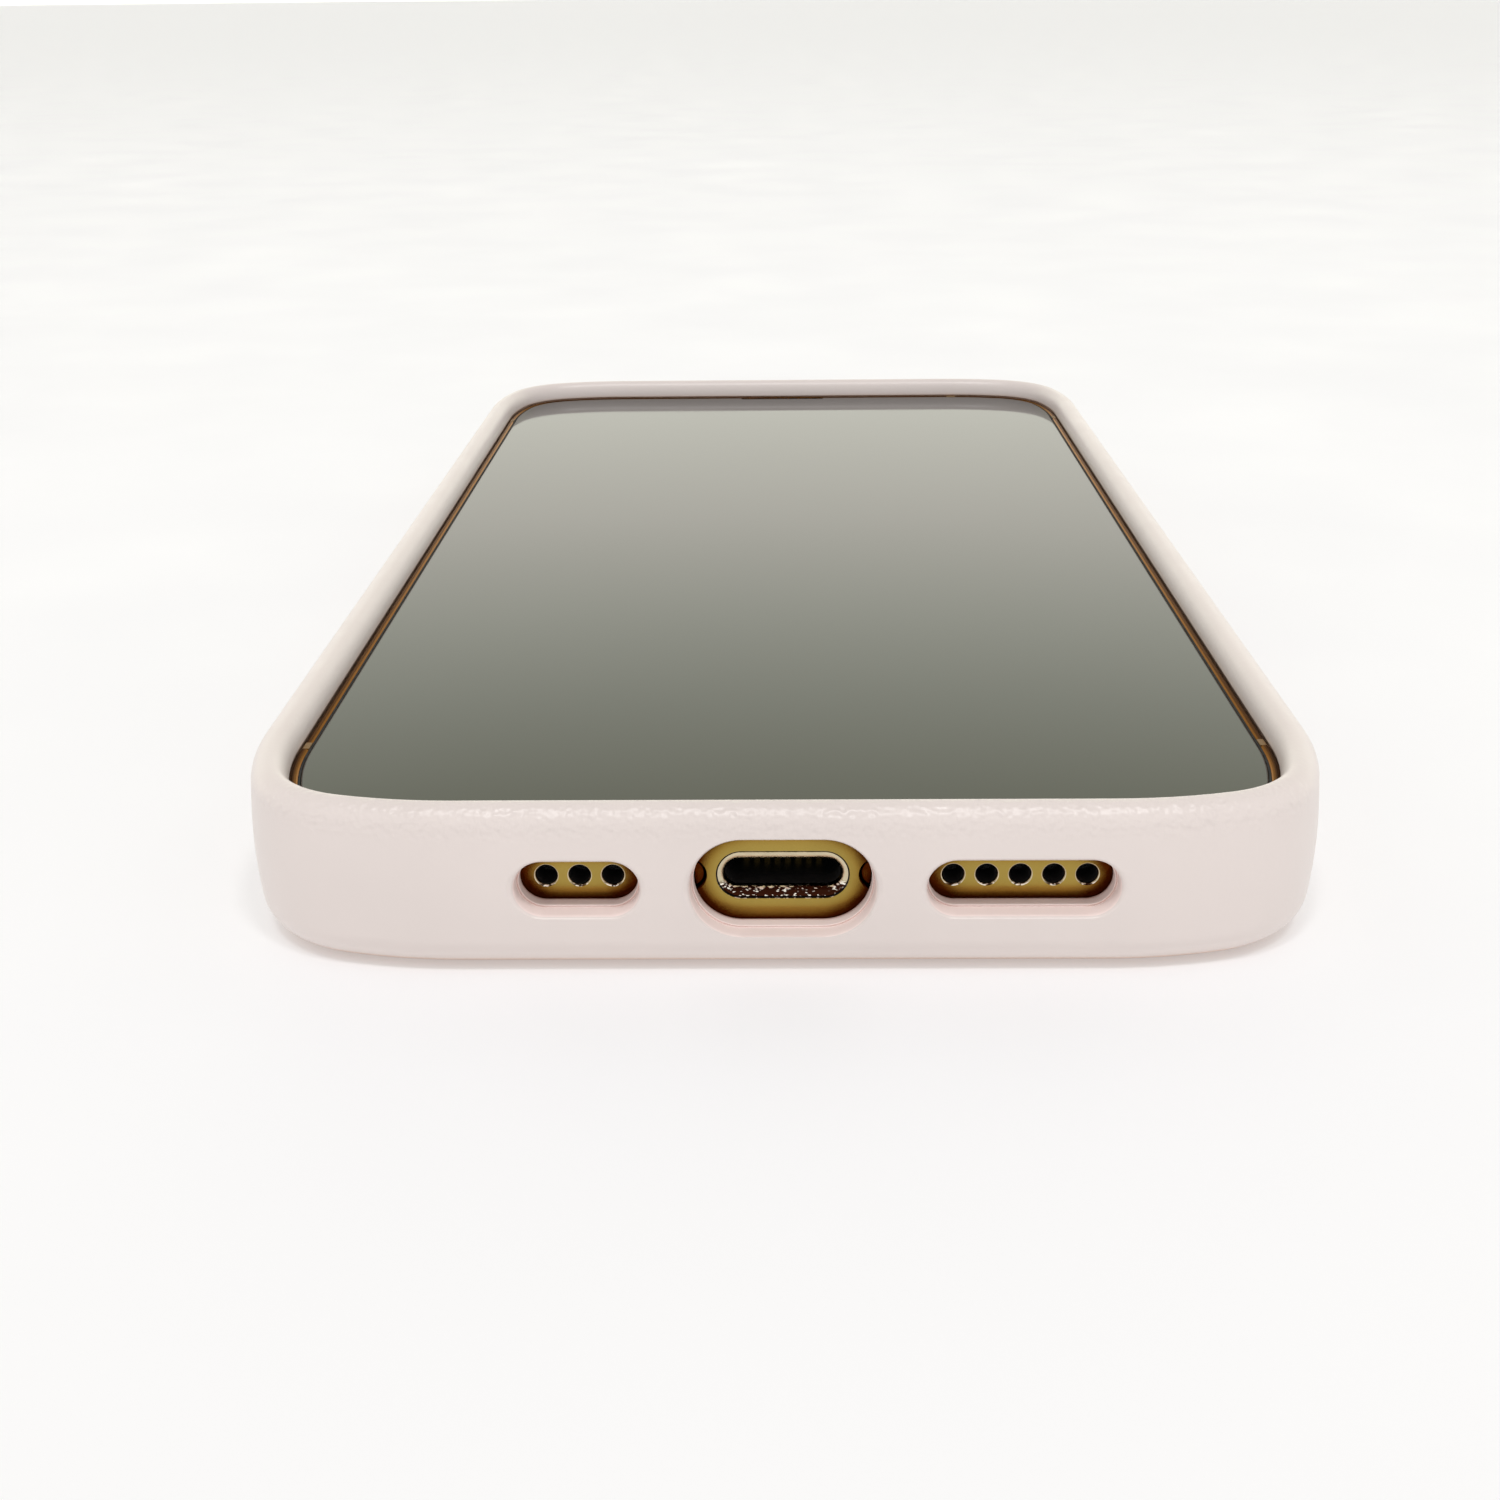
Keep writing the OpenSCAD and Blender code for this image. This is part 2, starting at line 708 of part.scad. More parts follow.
module board_chips() {
    color([0.12, 0.12, 0.13]) for (s = shield_boxes)
        box([s[0] + 2, s[1] + 2, z_board_top], [s[0] + s[2] - 3, s[1] + s[3] - 4, z_board_top + 0.9]);
}

module board_shields() {
    wall = 0.2;
    color([0.78, 0.79, 0.80]) for (s = shield_boxes) difference() {
        box([s[0], s[1], z_board_top], [s[0] + s[2], s[1] + s[3], z_board_top + 1.5]);
        box([s[0] + wall, s[1] + wall, z_board_top - 1],
            [s[0] + s[2] - wall, s[1] + s[3] - wall, z_board_top + 1.5 - wall]);
    }
}

module board_screws() {
    color([0.65, 0.65, 0.68]) for (p = board_screws_at) translate([p.x, p.y, 0]) difference() {
        union() {
            translate([0, 0, z_board_top + snug]) cylinder(r = 1.3, h = 0.5);
            translate([0, 0, z_back_ledge + 0.8]) cylinder(r = 0.55, h = z_board_top - z_back_ledge - 0.7);
        }
        translate([0, 0, z_board_top + 0.25]) cylinder(r = 0.5, h = 1, $fn = 6);
    }
}

module charging_coil() {
    turns = 9;
    pitch = (coil_r - 12) / turns;
    color([0.72, 0.42, 0.22]) rotate_extrude() union() {
        translate([12, z_back_ledge]) square([coil_r - 12, 0.2]);
        for (i = [0:turns - 1])
            translate([12 + i * pitch, z_back_ledge]) square([pitch * 0.7, 0.5]);
    }
}

module alignment_magnets() {
    color([0.70, 0.70, 0.72]) for (i = [0:17]) rotate([0, 0, 20 * i + 91])
        rotate_extrude(angle = 18) translate([magnet_r - 3.2, z_back_ledge]) square([3.2, 0.5]);
}

// ---- haptic engine ----

module haptic_housing() {
    size = [haptic.x / 2, haptic.y / 2];
    color([0.66, 0.66, 0.68]) translate([haptic_x, haptic_y, z_haptic]) difference() {
        box([-size.x, -size.y, 0], [size.x, size.y, haptic_t - 0.3]);
        box([haptic_wall - size.x, haptic_wall - size.y, haptic_wall],
            [size.x - haptic_wall, size.y - haptic_wall, haptic_t]);
    }
}

module haptic_cover() {
    color([0.70, 0.70, 0.72]) translate([haptic_x, haptic_y, z_haptic])
        box([-haptic.x / 2, -haptic.y / 2, haptic_t - 0.3], [haptic.x / 2, haptic.y / 2, haptic_t]);
}

module haptic_mass() {
    color([0.45, 0.45, 0.47]) translate([haptic_x, haptic_y, z_haptic + haptic_wall + 0.15]) difference() {
        translate([0, 0, mass_size.z / 2]) cube(mass_size, center = true);
        for (x = [-5, 5])
            translate([x, 0, mass_size.z - 0.6]) linear_extrude(1) square([5, 5], center = true);
    }
}

module haptic_springs() {
    gap = haptic.x / 2 - haptic_wall - mass_size.x / 2 - 2 * snug;
    color([0.80, 0.80, 0.82]) for (turn = [0, 180])
        translate([haptic_x, haptic_y, z_haptic + 1]) rotate([0, 0, turn])
            translate([mass_size.x / 2 + snug, -3.5, 0]) difference() {
                cube([gap, 7, 1.6]);
                translate([0.25, 0.25, -1]) cube([gap - 0.5, 7, 4]);
            }
}

// ---- sound ----

module speaker_space(inset, low, high) {
    intersection() {
        box([speaker_low.x + inset, speaker_low.y + inset, low],
            [speaker_high.x - inset, speaker_high.y - inset, high]);
        slab(inner_w - 1.6 - 2 * inset, inner_l - 0.9 - 2 * inset, speaker_corner_r - inset, low, high);
    }
}

module speaker_box() {
    color([0.16, 0.16, 0.17]) difference() {
        speaker_space(0, z_plate + 0.05, z_inner_top - 0.4);
        speaker_space(shell_t, z_plate + 0.05 + shell_t, z_inner_top);
        hole_row(speaker_holes, speaker_x)
            translate([0, speaker_low.y - 1, 0]) rotate([-90, 0, 0]) cylinder(r = hole_r, h = 2);
    }
}

module speaker_cover() {
    color([0.20, 0.20, 0.21]) speaker_space(0, z_inner_top - 0.4, z_inner_top);
}

module speaker_magnet() {
    color([0.60, 0.60, 0.62]) translate([20, -61, z_plate + 0.05 + shell_t]) cylinder(r = 5, h = 1.1);
}

module speaker_diaphragm() {
    color([0.35, 0.35, 0.36]) translate([20, -61, 0]) difference() {
        slab(16, 13, 4, z_mid + 0.1, z_mid + 0.7);
        slab(12, 9, 3, z_mid + 0.4, z_mid + 2);
    }
}

module end_mesh(width) {
    stadium_along_y(width, 2.6, inner_end_y + snug, inner_end_y + 0.25);
}

module speaker_mesh() { color([0.10, 0.10, 0.10]) at_end(speaker_x) end_mesh(11.8); }
module microphone_mesh() { color([0.10, 0.10, 0.10]) at_end(mic_x) end_mesh(7); }

module microphone() {
    color([0.75, 0.70, 0.55]) difference() {
        box([mic_x - 3, inner_end_y + 0.4, z_mid - 1.2], [mic_x + 3, inner_end_y + 3.4, z_mid + 1.2]);
        at_end(mic_x) translate([0, inner_end_y - 1, 0]) rotate([-90, 0, 0]) cylinder(r = 0.4, h = 2.5);
    }
}

// ---- charging port ----

module charging_port() {
    back_y = inner_end_y + 8;
    color([0.07, 0.07, 0.07]) difference() {
        box([-port_w / 2 - 1.3, inner_end_y + snug, z_mid - port_h / 2 - 0.9],
            [port_w / 2 + 1.3, back_y, z_inner_top + 0.1]);
        at_end(0) stadium_along_y(port_w + 0.1, port_h + 0.1, inner_end_y - 1, back_y - 0.8);
    }
}

module port_contacts() {
    low = z_mid - port_h / 2 - 0.05;
    color([0.90, 0.75, 0.35]) for (i = [0:7])
        translate([(i - 3.5) * 0.72, 0, 0])
            box([-0.2, inner_end_y + 2.4, low], [0.2, inner_end_y + 6.6, low + 0.25]);
}

module port_flex() {
    low = z_plate + snug;
    color([0.75, 0.45, 0.15]) {
        box([-19, -62.6, low], [5, -60.9, low + 0.12]);
        box([-19, -62.6, low], [-14, -3.2, low + 0.12]);
        box([-19.5, -7, low + 0.12], [-13.8, -3.2, z_board - snug]);
    }
}

module bottom_screws() {
    color([0.80, 0.68, 0.42]) for (s = [-1, 1])
        at_end(s * screw_x) translate([0, end_y + 0.35, 0]) rotate([-90, 0, 0]) difference() {
            union() {
                cylinder(r = 0.95, h = 0.55);
                cylinder(r = 0.5, h = 2.4);
            }
            translate([0, 0, -1]) cylinder(r = 0.42, h = 1.3, $fn = 5);
        }
}

// ---- SIM tray ----

module sim_tray() {
    half_w = sim_body_w / 2;
    color([0.80, 0.68, 0.44]) translate([0, sim_y, z_mid]) difference() {
        union() {
            stadium_along_x(sim_face_l, sim_face_h, -side_x, 0.9 - side_x);
            box([0.9 - side_x, -half_w, -sim_body_t / 2], [sim_end_x, half_w, sim_body_t / 2]);
        }
        box([-34.1, -4.5, -sim_body_t / 2 + 0.3], [-22.4, 4.5, 2]);
        box([-32.5, -3.2, -2], [-23.5, 3.2, 2]);
        translate([-side_x - 1, sim_face_l / 2 - 1.1, 0]) rotate([0, 90, 0]) cylinder(r = 0.4, h = 3);
    }
}

module sim_card() {
    low = z_mid - sim_body_t / 2 + 0.3 + snug;
    color([0.93, 0.93, 0.91]) difference() {
        box([-34.05, sim_y - 4.4, low], [-22.5, sim_y + 4.4, low + 0.67]);
        translate([-22.5, sim_y + 4.4, low - 1]) rotate([0, 0, 45]) cube([2, 2, 4], center = true);
    }
}

module sim_reader() {
    color([0.75, 0.76, 0.78]) translate([0, sim_y, 0]) difference() {
        box([-33, -6.8, z_plate + 0.05], [-20.6, 6.8, z_mid + 1.2]);
        box([-34, -6, z_mid - 0.75], [-21.2, 6, z_mid + 0.85]);
        box([-31, -5, z_mid], [-23, 5, z_mid + 3]);
    }
}

// ---- buttons and ring switch ----

module phone_button(side, y, length) {
    color([0.80, 0.68, 0.44]) on_side(side, y) {
        stadium_along_x(length, button_h, pocket_x + button_travel + 0.05, side_x + button_out);
        for (s = [-1, 1])
            translate([stem_tip_x, s * (length / 2 - stem_inset), 0]) rotate([0, 90, 0])
                cylinder(r = stem_r, h = pocket_x + button_travel + 0.1 - stem_tip_x);
    }
}

module power_button() { phone_button(1, power_y, power_l); }
module volume_up_button() { phone_button(-1, volume_up_y, volume_l); }
module volume_down_button() { phone_button(-1, volume_down_y, volume_l); }

module each_button() {
    on_side(1, power_y) children(0);
    on_side(-1, volume_up_y) children(1);
    on_side(-1, volume_down_y) children(1);
}

// A snap dome under each stem: a raised crown on a thin rim
module dome_pair(length) {
    for (s = [-1, 1])
        translate([stem_tip_x - snug - 0.4, s * (length / 2 - stem_inset), 0]) rotate([0, 90, 0]) {
            cylinder(r = 1.5, h = 0.15);
            cylinder(r1 = 1.1, r2 = 0.5, h = 0.4);
        }
}

module button_domes() {
    color([0.85, 0.85, 0.86]) each_button() {
        dome_pair(power_l);
        dome_pair(volume_l);
    }
}

module strip_plate(length) {
    face = stem_tip_x - snug - 0.4;
    box([face - 0.3, -length / 2, -1.7], [face, length / 2, 1.7]);
}

module button_strips() {
    color([0.75, 0.45, 0.15]) each_button() {
        strip_plate(power_l);
        strip_plate(volume_l);
    }
}

module ring_switch() {
    color([0.80, 0.68, 0.44]) on_side(-1, switch_y) translate([0, 0, switch_rest]) {
        rounded_along_x(switch_w, switch_h, 0.5, side_x - 1.1, side_x + button_out);
        box([inner_x - 0.4, -0.8, -0.5], [side_x - 1, 0.8, 0.5]);
    }
}

module ring_switch_base() {
    color([0.15, 0.15, 0.16]) on_side(-1, switch_y)
        box([inner_x - 1.6, -3, -1.6], [inner_x - 0.45, 3, 1.6]);
}

case_shell();
case_lining();
case_power_button();
case_volume_up_button();
case_volume_down_button();
frame_band();
antenna_inserts();
chassis_plate();
front_glass();
display_gasket();
display_panel();
display_flex();
back_glass();
camera_island();
lens_rings();
lens_covers();
wide_camera_body();
wide_lens_barrel();
ultrawide_camera();
flash_led();
flash_lens();
camera_bracket();
front_camera();
earpiece_mesh();
earpiece_box();
earpiece_diaphragm();
battery_cell();
battery_flex();
logic_board();
board_chips();
board_shields();
board_screws();
charging_coil();
alignment_magnets();
haptic_housing();
haptic_cover();
haptic_mass();
haptic_springs();
speaker_box();
speaker_cover();
speaker_magnet();
speaker_diaphragm();
speaker_mesh();
microphone();
microphone_mesh();
charging_port();
port_contacts();
port_flex();
bottom_screws();
sim_tray();
sim_card();
sim_reader();
power_button();
volume_up_button();
volume_down_button();
ring_switch();
ring_switch_base();
button_domes();
button_strips();
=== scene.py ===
"""Looks of a smartphone in its moulded case, lying screen up on a pale floor.

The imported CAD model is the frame. Shapes below are written in millimetres in the frame's own axes, and
mesh code turns them into metres once, when a piece is made.
"""
import json
import math

import bmesh
import bpy
from mathutils import Matrix, Vector


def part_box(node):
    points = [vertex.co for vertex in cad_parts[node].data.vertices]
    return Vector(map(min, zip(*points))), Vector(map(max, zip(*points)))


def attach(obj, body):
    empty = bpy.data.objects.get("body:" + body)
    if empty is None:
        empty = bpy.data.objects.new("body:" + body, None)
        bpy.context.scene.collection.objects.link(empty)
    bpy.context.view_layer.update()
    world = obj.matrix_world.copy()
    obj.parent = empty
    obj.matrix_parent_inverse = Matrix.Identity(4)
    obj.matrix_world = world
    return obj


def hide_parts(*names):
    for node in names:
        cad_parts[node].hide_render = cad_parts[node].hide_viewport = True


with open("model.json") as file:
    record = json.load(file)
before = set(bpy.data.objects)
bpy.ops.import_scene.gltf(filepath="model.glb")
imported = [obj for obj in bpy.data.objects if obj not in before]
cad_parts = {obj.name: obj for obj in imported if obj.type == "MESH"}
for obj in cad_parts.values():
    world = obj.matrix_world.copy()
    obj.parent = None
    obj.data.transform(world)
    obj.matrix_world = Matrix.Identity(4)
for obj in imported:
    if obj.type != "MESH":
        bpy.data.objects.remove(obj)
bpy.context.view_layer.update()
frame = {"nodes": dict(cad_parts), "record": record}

MM = 0.001
ROOT = "phone"


def box_mm(node):
    """Lowest and highest corners of a CAD node, in millimetres."""
    low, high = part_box(node)
    return low / MM, high / MM


# ---- dimensions, in millimetres ----

case_low, case_high = box_mm("case_shell")
band_low, band_high = box_mm("frame_band")
glass_low, glass_high = box_mm("front_glass")
island_low, island_high = box_mm("camera_island")
ring_low, ring_high = box_mm("lens_rings")
BAND_HALF_W, BAND_HALF_L = band_high.x, band_high.y
BAND_R = 7.4
CASE_WALL = 2.2
CASE_HALF_W, CASE_HALF_L, CASE_R = BAND_HALF_W + CASE_WALL, BAND_HALF_L + CASE_WALL, BAND_R + CASE_WALL
# Each corner's gentle arcs: their extra radius, and how far each turns before the tight arc takes over
LEAD_MORE = 20.0
LEAD_ANGLE = math.atan2(7, 24)
LEAD_STEPS = 6
Z_BACK, Z_GLASS, Z_LIP = band_low.z, band_high.z, case_high.z
Z_MID = (Z_BACK + Z_GLASS) / 2
Z_FLOOR = box_mm("case_lining")[0].z
# The case wall: its foot's radius, its lean and swell, and the radius of its lip's roll
FOOT_R, DRAFT, BULGE, ROLL_R = 2.6, 0.15, 0.45, 1.35
# How far the case's outer face stands off the band at the height of its openings
CASE_FACE = CASE_WALL + 0.366
BUTTON_FLANGE, BUTTON_H, BUTTON_GAP = 0.7, 3.6, 0.3
PORT_W, PORT_H = 7.8, 1.9
RIM, BAND_WALL, CHAMFER = 0.8, 2.3, 0.35
HOLE_R, HOLE_PITCH = 0.69, 2.25
MIC_HOLES, SPEAKER_HOLES = 3, 5
MIC_X, SPEAKER_X, SCREW_X = -13.7, 15.95, 6.3
INSERT_W, INSERT_X, INSERT_Y = 1.2, 23.0, 58.5
# The case's openings at the charging end: place along x, length and height
MOUTHS = ((0, 12.0, 6.62), (MIC_X, 8.0, 3.54), (SPEAKER_X, 12.4, 3.6))
CUT_RISE = 0.06
CORNER_STEPS = 20
WELD = 1e-4
# Edges sharper than this stay crisp; smoothing leans this far, of 100, towards the larger faces
SHARP_ANGLE, FACE_INFLUENCE = math.radians(35), 80


# ---- outlines and lofts ----

def arc(centre, radius, start, end, steps):
    """Points along an arc, angles in degrees."""
    turn = [math.radians(start + (end - start) * i / steps) for i in range(steps + 1)]
    return [(centre[0] + radius * math.cos(a), centre[1] + radius * math.sin(a)) for a in turn]


def rounded_path(half_w, half_l, radius, steps=CORNER_STEPS):
    """Points and outward normals round a rounded rectangle, anticlockwise."""
    path = []
    for quarter, (sx, sy) in enumerate(((1, 1), (-1, 1), (-1, -1), (1, -1))):
        centre = Vector((sx * (half_w - radius), sy * (half_l - radius)))
        for i in range(steps + 1):
            angle = math.radians(90 * (quarter + i / steps))
            normal = Vector((math.cos(angle), math.sin(angle)))
            path.append((centre + normal * radius, normal))
    return path


def phone_path(half_w, half_l, radius, steps=CORNER_STEPS):
    """Like rounded_path, but each corner is a tight arc between two gentle ones, as on the real band."""
    gentle = radius + LEAD_MORE
    reach = gentle - LEAD_MORE * (math.cos(LEAD_ANGLE) - math.sin(LEAD_ANGLE))
    start = Vector((half_w - gentle, half_l - reach))
    middle = start + LEAD_MORE * Vector((math.cos(LEAD_ANGLE), math.sin(LEAD_ANGLE)))
    end = Vector((half_w - reach, half_l - gentle))
    corner = []
    for centre, size, low, high, count in (
            (start, gentle, 0, LEAD_ANGLE, LEAD_STEPS),
            (middle, radius, LEAD_ANGLE, math.pi / 2 - LEAD_ANGLE, steps),
            (end, gentle, math.pi / 2 - LEAD_ANGLE, math.pi / 2, LEAD_STEPS)):
        for i in range(count + (centre is end)):
            angle = low + (high - low) * i / count
            normal = Vector((math.cos(angle), math.sin(angle)))
            corner.append((centre + normal * size, normal))
    path = []
    for sx, sy in ((1, 1), (-1, 1), (-1, -1), (1, -1)):
        turned = [(Vector((p.x * sx, p.y * sy)), Vector((n.x * sx, n.y * sy))) for p, n in corner]
        path += turned if sx == sy else turned[::-1]
    return path


def stadium_path(length, height, steps=CORNER_STEPS):
    """A path with fully round ends, long side along x."""
    return rounded_path(length / 2, height / 2, height / 2, steps)


def circle_path(radius, steps=12):
    return rounded_path(radius, radius, radius, steps)


def skin(loops, ring=False, marks=()):
    """A solid through loops of points, capped at both ends or joined into a ring.

    A strip of faces takes the material number in marks, if there is one at its place.
    """
    bm = bmesh.new()
    made = [[bm.verts.new(point) for point in loop] for loop in loops]
    pairs = list(zip(made, made[1:]))
    if ring:
        pairs.append((made[-1], made[0]))
    count = len(loops[0])
    for i, (lower, upper) in enumerate(pairs):
        for j in range(count):
            k = (j + 1) % count
            face = bm.faces.new((lower[j], lower[k], upper[k], upper[j]))
            face.material_index = marks[i] if i < len(marks) else 0
    if not ring:
        bm.faces.new(made[0][::-1])
        bm.faces.new(made[-1])
    bmesh.ops.remove_doubles(bm, verts=bm.verts, dist=WELD)
    bmesh.ops.dissolve_degenerate(bm, edges=bm.edges, dist=WELD)
    bmesh.ops.recalc_face_normals(bm, faces=bm.faces)
    return bm


def loft(path, profile, ring=False, marks=()):
    """A solid whose profile, a list of (inset, height), is carried round the path."""
    loops = [[(*(point - normal * inset), height) for point, normal in path] for inset, height in profile]
    return skin(loops, ring, marks)


def lathe(profile, steps=64):
    """A solid of revolution about z. The profile is a list of (radius, height)."""
    widest = max(radius for radius, _ in profile)
    return loft(circle_path(widest, steps // 4), [(widest - radius, height) for radius, height in profile])


def block(low, high):
    bm = bmesh.new()
    bmesh.ops.create_cube(bm, size=1)
    size = Vector(high) - Vector(low)
    centre = (Vector(high) + Vector(low)) / 2
    return moved(bm, Matrix.Translation(centre) @ Matrix.Diagonal((*size, 1)))


def facing(direction, origin):
    """A matrix whose local z points along direction and whose local y points up."""
    z_axis = Vector(direction)
    y_axis = Vector((0, 0, 1)) if abs(z_axis.z) < 0.5 else Vector((0, 1, 0))
    x_axis = y_axis.cross(z_axis)
    turn = Matrix((x_axis, y_axis, z_axis)).transposed().to_4x4()
    return Matrix.Translation(origin) @ turn


def moved(bm, matrix):
    bmesh.ops.transform(bm, matrix=matrix, verts=bm.verts)
    return bm


def joined(parts):
    """One bmesh holding several that don't overlap."""
    whole = bmesh.new()
    for part in parts:
        mesh = bpy.data.meshes.new("part")
        part.to_mesh(mesh)
        part.free()
        whole.from_mesh(mesh)
        bpy.data.meshes.remove(mesh)
    return whole


def as_object(name, bm, materials=()):
    """A Blender object, in metres, from a bmesh in millimetres."""
    bmesh.ops.scale(bm, vec=(MM, MM, MM), verts=bm.verts)
    mesh = bpy.data.meshes.new(name)
    bm.to_mesh(mesh)
    bm.free()
    for material in materials:
        mesh.materials.append(material)
    made = bpy.data.objects.new(name, mesh)
    bpy.context.scene.collection.objects.link(made)
    return made


def carve(solid, cutters):
    """Takes the cutters out of the solid and applies the result."""
    tool = as_object("cutter", joined(cutters), solid.data.materials)
    cut = solid.modifiers.new("cut", "BOOLEAN")
    cut.operation = "DIFFERENCE"
    cut.solver = "EXACT"
    cut.object = tool
    graph = bpy.context.evaluated_depsgraph_get()
    mesh = bpy.data.meshes.new_from_object(solid.evaluated_get(graph))
    solid.modifiers.clear()
    old = solid.data
    solid.data = mesh
    bpy.data.meshes.remove(old)
    mesh.name = solid.name
    tool_mesh = tool.data
    bpy.data.objects.remove(tool)
    bpy.data.meshes.remove(tool_mesh)


def piece(name, bm, slot, body=ROOT, replaces=(), cuts=(), materials=()):
    """A finished visible piece: carved, shaded, given its materials and put on its body.

    Each of cuts is a list of cutters that don't overlap each other.
    """
    made = as_object(name, bm, materials or (MATERIALS[slot],))
    for cutters in cuts:
        carve(made, cutters)
    made.data.shade_smooth()
    made.data.set_sharp_from_angle(angle=SHARP_ANGLE)
    weighted = made.modifiers.new("weighted", "WEIGHTED_NORMAL")
    weighted.keep_sharp = True
    weighted.weight = FACE_INFLUENCE
    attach(made, body)
    if replaces:
        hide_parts(*replaces)


# ---- materials ----

def srgb(red, green, blue):
    """A linear colour from 0-255 screen values."""
    def linear(value):
        value /= 255
        return value / 12.92 if value <= 0.04045 else ((value + 0.055) / 1.055) ** 2.4
    return (linear(red), linear(green), linear(blue), 1.0)


# Sockets of a colour Mix node, which share their names with its other kinds
MIX_A, MIX_B, MIX_OUT = 6, 7, 2
WHITE = (1, 1, 1, 1)


class Surface:
    """A Principled material with helpers for its procedural detail. Texture sizes are in millimetres."""

    def __init__(self, name, colour, roughness, metallic=0.0, **sockets):
        self.material = bpy.data.materials.new(name)
        self.material.use_nodes = True
        self.tree = self.material.node_tree
        self.shader = self.tree.nodes["Principled BSDF"]
        self.set("Base Color", colour)
        self.set("Roughness", roughness)
        self.set("Metallic", metallic)
        for socket, value in sockets.items():
            self.set(socket.replace("_", " "), value)
        self.normal = None
        coords = self.tree.nodes.new("ShaderNodeTexCoord")
        scale = self.tree.nodes.new("ShaderNodeMapping")
        scale.inputs["Scale"].default_value = (1 / MM,) * 3
        self.link(coords.outputs["Object"], scale.inputs["Vector"])
        self.mm = scale.outputs["Vector"]

    def set(self, socket, value):
        self.shader.inputs[socket].default_value = value

    def link(self, source, target):
        self.tree.links.new(source, target)

    def node(self, kind, **settings):
        made = self.tree.nodes.new("ShaderNode" + kind)
        for key, value in settings.items():
            setattr(made, key, value)
        return made

    def stretched(self, scale):
        """The millimetre coordinates, scaled differently along each axis."""
        mapping = self.node("Mapping")
        mapping.inputs["Scale"].default_value = scale
        self.link(self.mm, mapping.inputs["Vector"])
        return mapping.outputs["Vector"]

    def noise(self, size, detail=3.0, vector=None):
        made = self.node("TexNoise")
        made.inputs["Scale"].default_value = 1 / size
        made.inputs["Detail"].default_value = detail
        self.link(vector or self.mm, made.inputs["Vector"])
        return made.outputs["Fac"]

    def cells(self, size, feature="DISTANCE_TO_EDGE"):
        made = self.node("TexVoronoi", feature=feature)
        made.inputs["Scale"].default_value = 1 / size
        if feature == "SMOOTH_F1":
            made.inputs["Smoothness"].default_value = 0.3
        self.link(self.mm, made.inputs["Vector"])
        return made.outputs["Distance"]

    def waves(self, size, **settings):
        """Waves a given size apart. The node itself makes 20 of them in 2 pi units."""
        made = self.node("TexWave", **settings)
        made.inputs["Scale"].default_value = 1 / (size * 2 * math.pi / 20)
        self.link(self.mm, made.inputs["Vector"])
        return made.outputs["Fac"]

    def ramp(self, factor, stops):
        made = self.node("ValToRGB")
        elements = made.color_ramp.elements
        while len(elements) < len(stops):
            elements.new(0.5)
        for element, (place, colour) in zip(elements, stops):
            element.position = place
            element.color = colour
        self.link(factor, made.inputs["Fac"])
        return made.outputs["Color"]

    def spread(self, factor, start, end, low, high):
        """Runs from low to high while the factor runs from start to end, and stays level beyond."""
        made = self.node("MapRange")
        for socket, value in (("From Min", start), ("From Max", end), ("To Min", low), ("To Max", high)):
            made.inputs[socket].default_value = value
        self.link(factor, made.inputs["Value"])
        return made.outputs["Result"]

    def combine(self, operation, first, second):
        made = self.node("Math", operation=operation)
        self.link(first, made.inputs[0])
        self.link(second, made.inputs[1])
        return made.outputs["Value"]

    def tint(self, factor, stops):
        self.link(self.ramp(factor, stops), self.shader.inputs["Base Color"])

    def multiply(self, colour):
        """Multiplies the base colour so far by another."""
        base = self.shader.inputs["Base Color"]
        mix = self.node("Mix", data_type="RGBA", blend_type="MULTIPLY")
        mix.inputs["Factor"].default_value = 1.0
        self.link(base.links[0].from_socket, mix.inputs[MIX_A])
        self.link(colour, mix.inputs[MIX_B])
        self.link(mix.outputs[MIX_OUT], base)

    def paint_crevice_shade(self, reach, stops):
        """Painted shade: multiplies the colour in crevices by a ramp on ambient occlusion; the stops run
        from fully hidden to open.
        """
        hidden = self.node("AmbientOcclusion", samples=8)
        hidden.inputs["Distance"].default_value = reach * MM
        self.multiply(self.ramp(hidden.outputs["AO"], stops))

    def vary_roughness(self, factor, low, high):
        self.link(self.spread(factor, 0.3, 0.7, low, high), self.shader.inputs["Roughness"])

    def along(self, axis, start, end, low=0.0, high=1.0):
        """A value that runs from low to high between two places along an axis, in millimetres."""
        axes = self.node("SeparateXYZ")
        self.link(self.mm, axes.inputs["Vector"])
        return self.spread(axes.outputs[axis], start, end, low, high)

    def bump(self, height, depth, fade=None):
        """Adds relief of a given depth in millimetres on top of what is there."""
        made = self.node("Bump")
        made.inputs["Distance"].default_value = depth * MM
        if fade:
            self.link(fade, made.inputs["Strength"])
        self.link(height, made.inputs["Height"])
        if self.normal:
            self.link(self.normal, made.inputs["Normal"])
        self.normal = made.outputs["Normal"]
        self.link(self.normal, self.shader.inputs["Normal"])


def shade(colour, factor):
    return tuple(min(1.0, c * factor) for c in colour[:3]) + (1.0,)


def mottled(surface, colour, size, amount, rough):
    """Slight variation of colour and roughness, which every made surface has."""
    cloud = surface.noise(size, 4)
    surface.tint(cloud, [(0.35, shade(colour, 1 - amount)), (0.65, shade(colour, 1 + amount))])
    surface.vary_roughness(surface.noise(size / 5, 3), *rough)


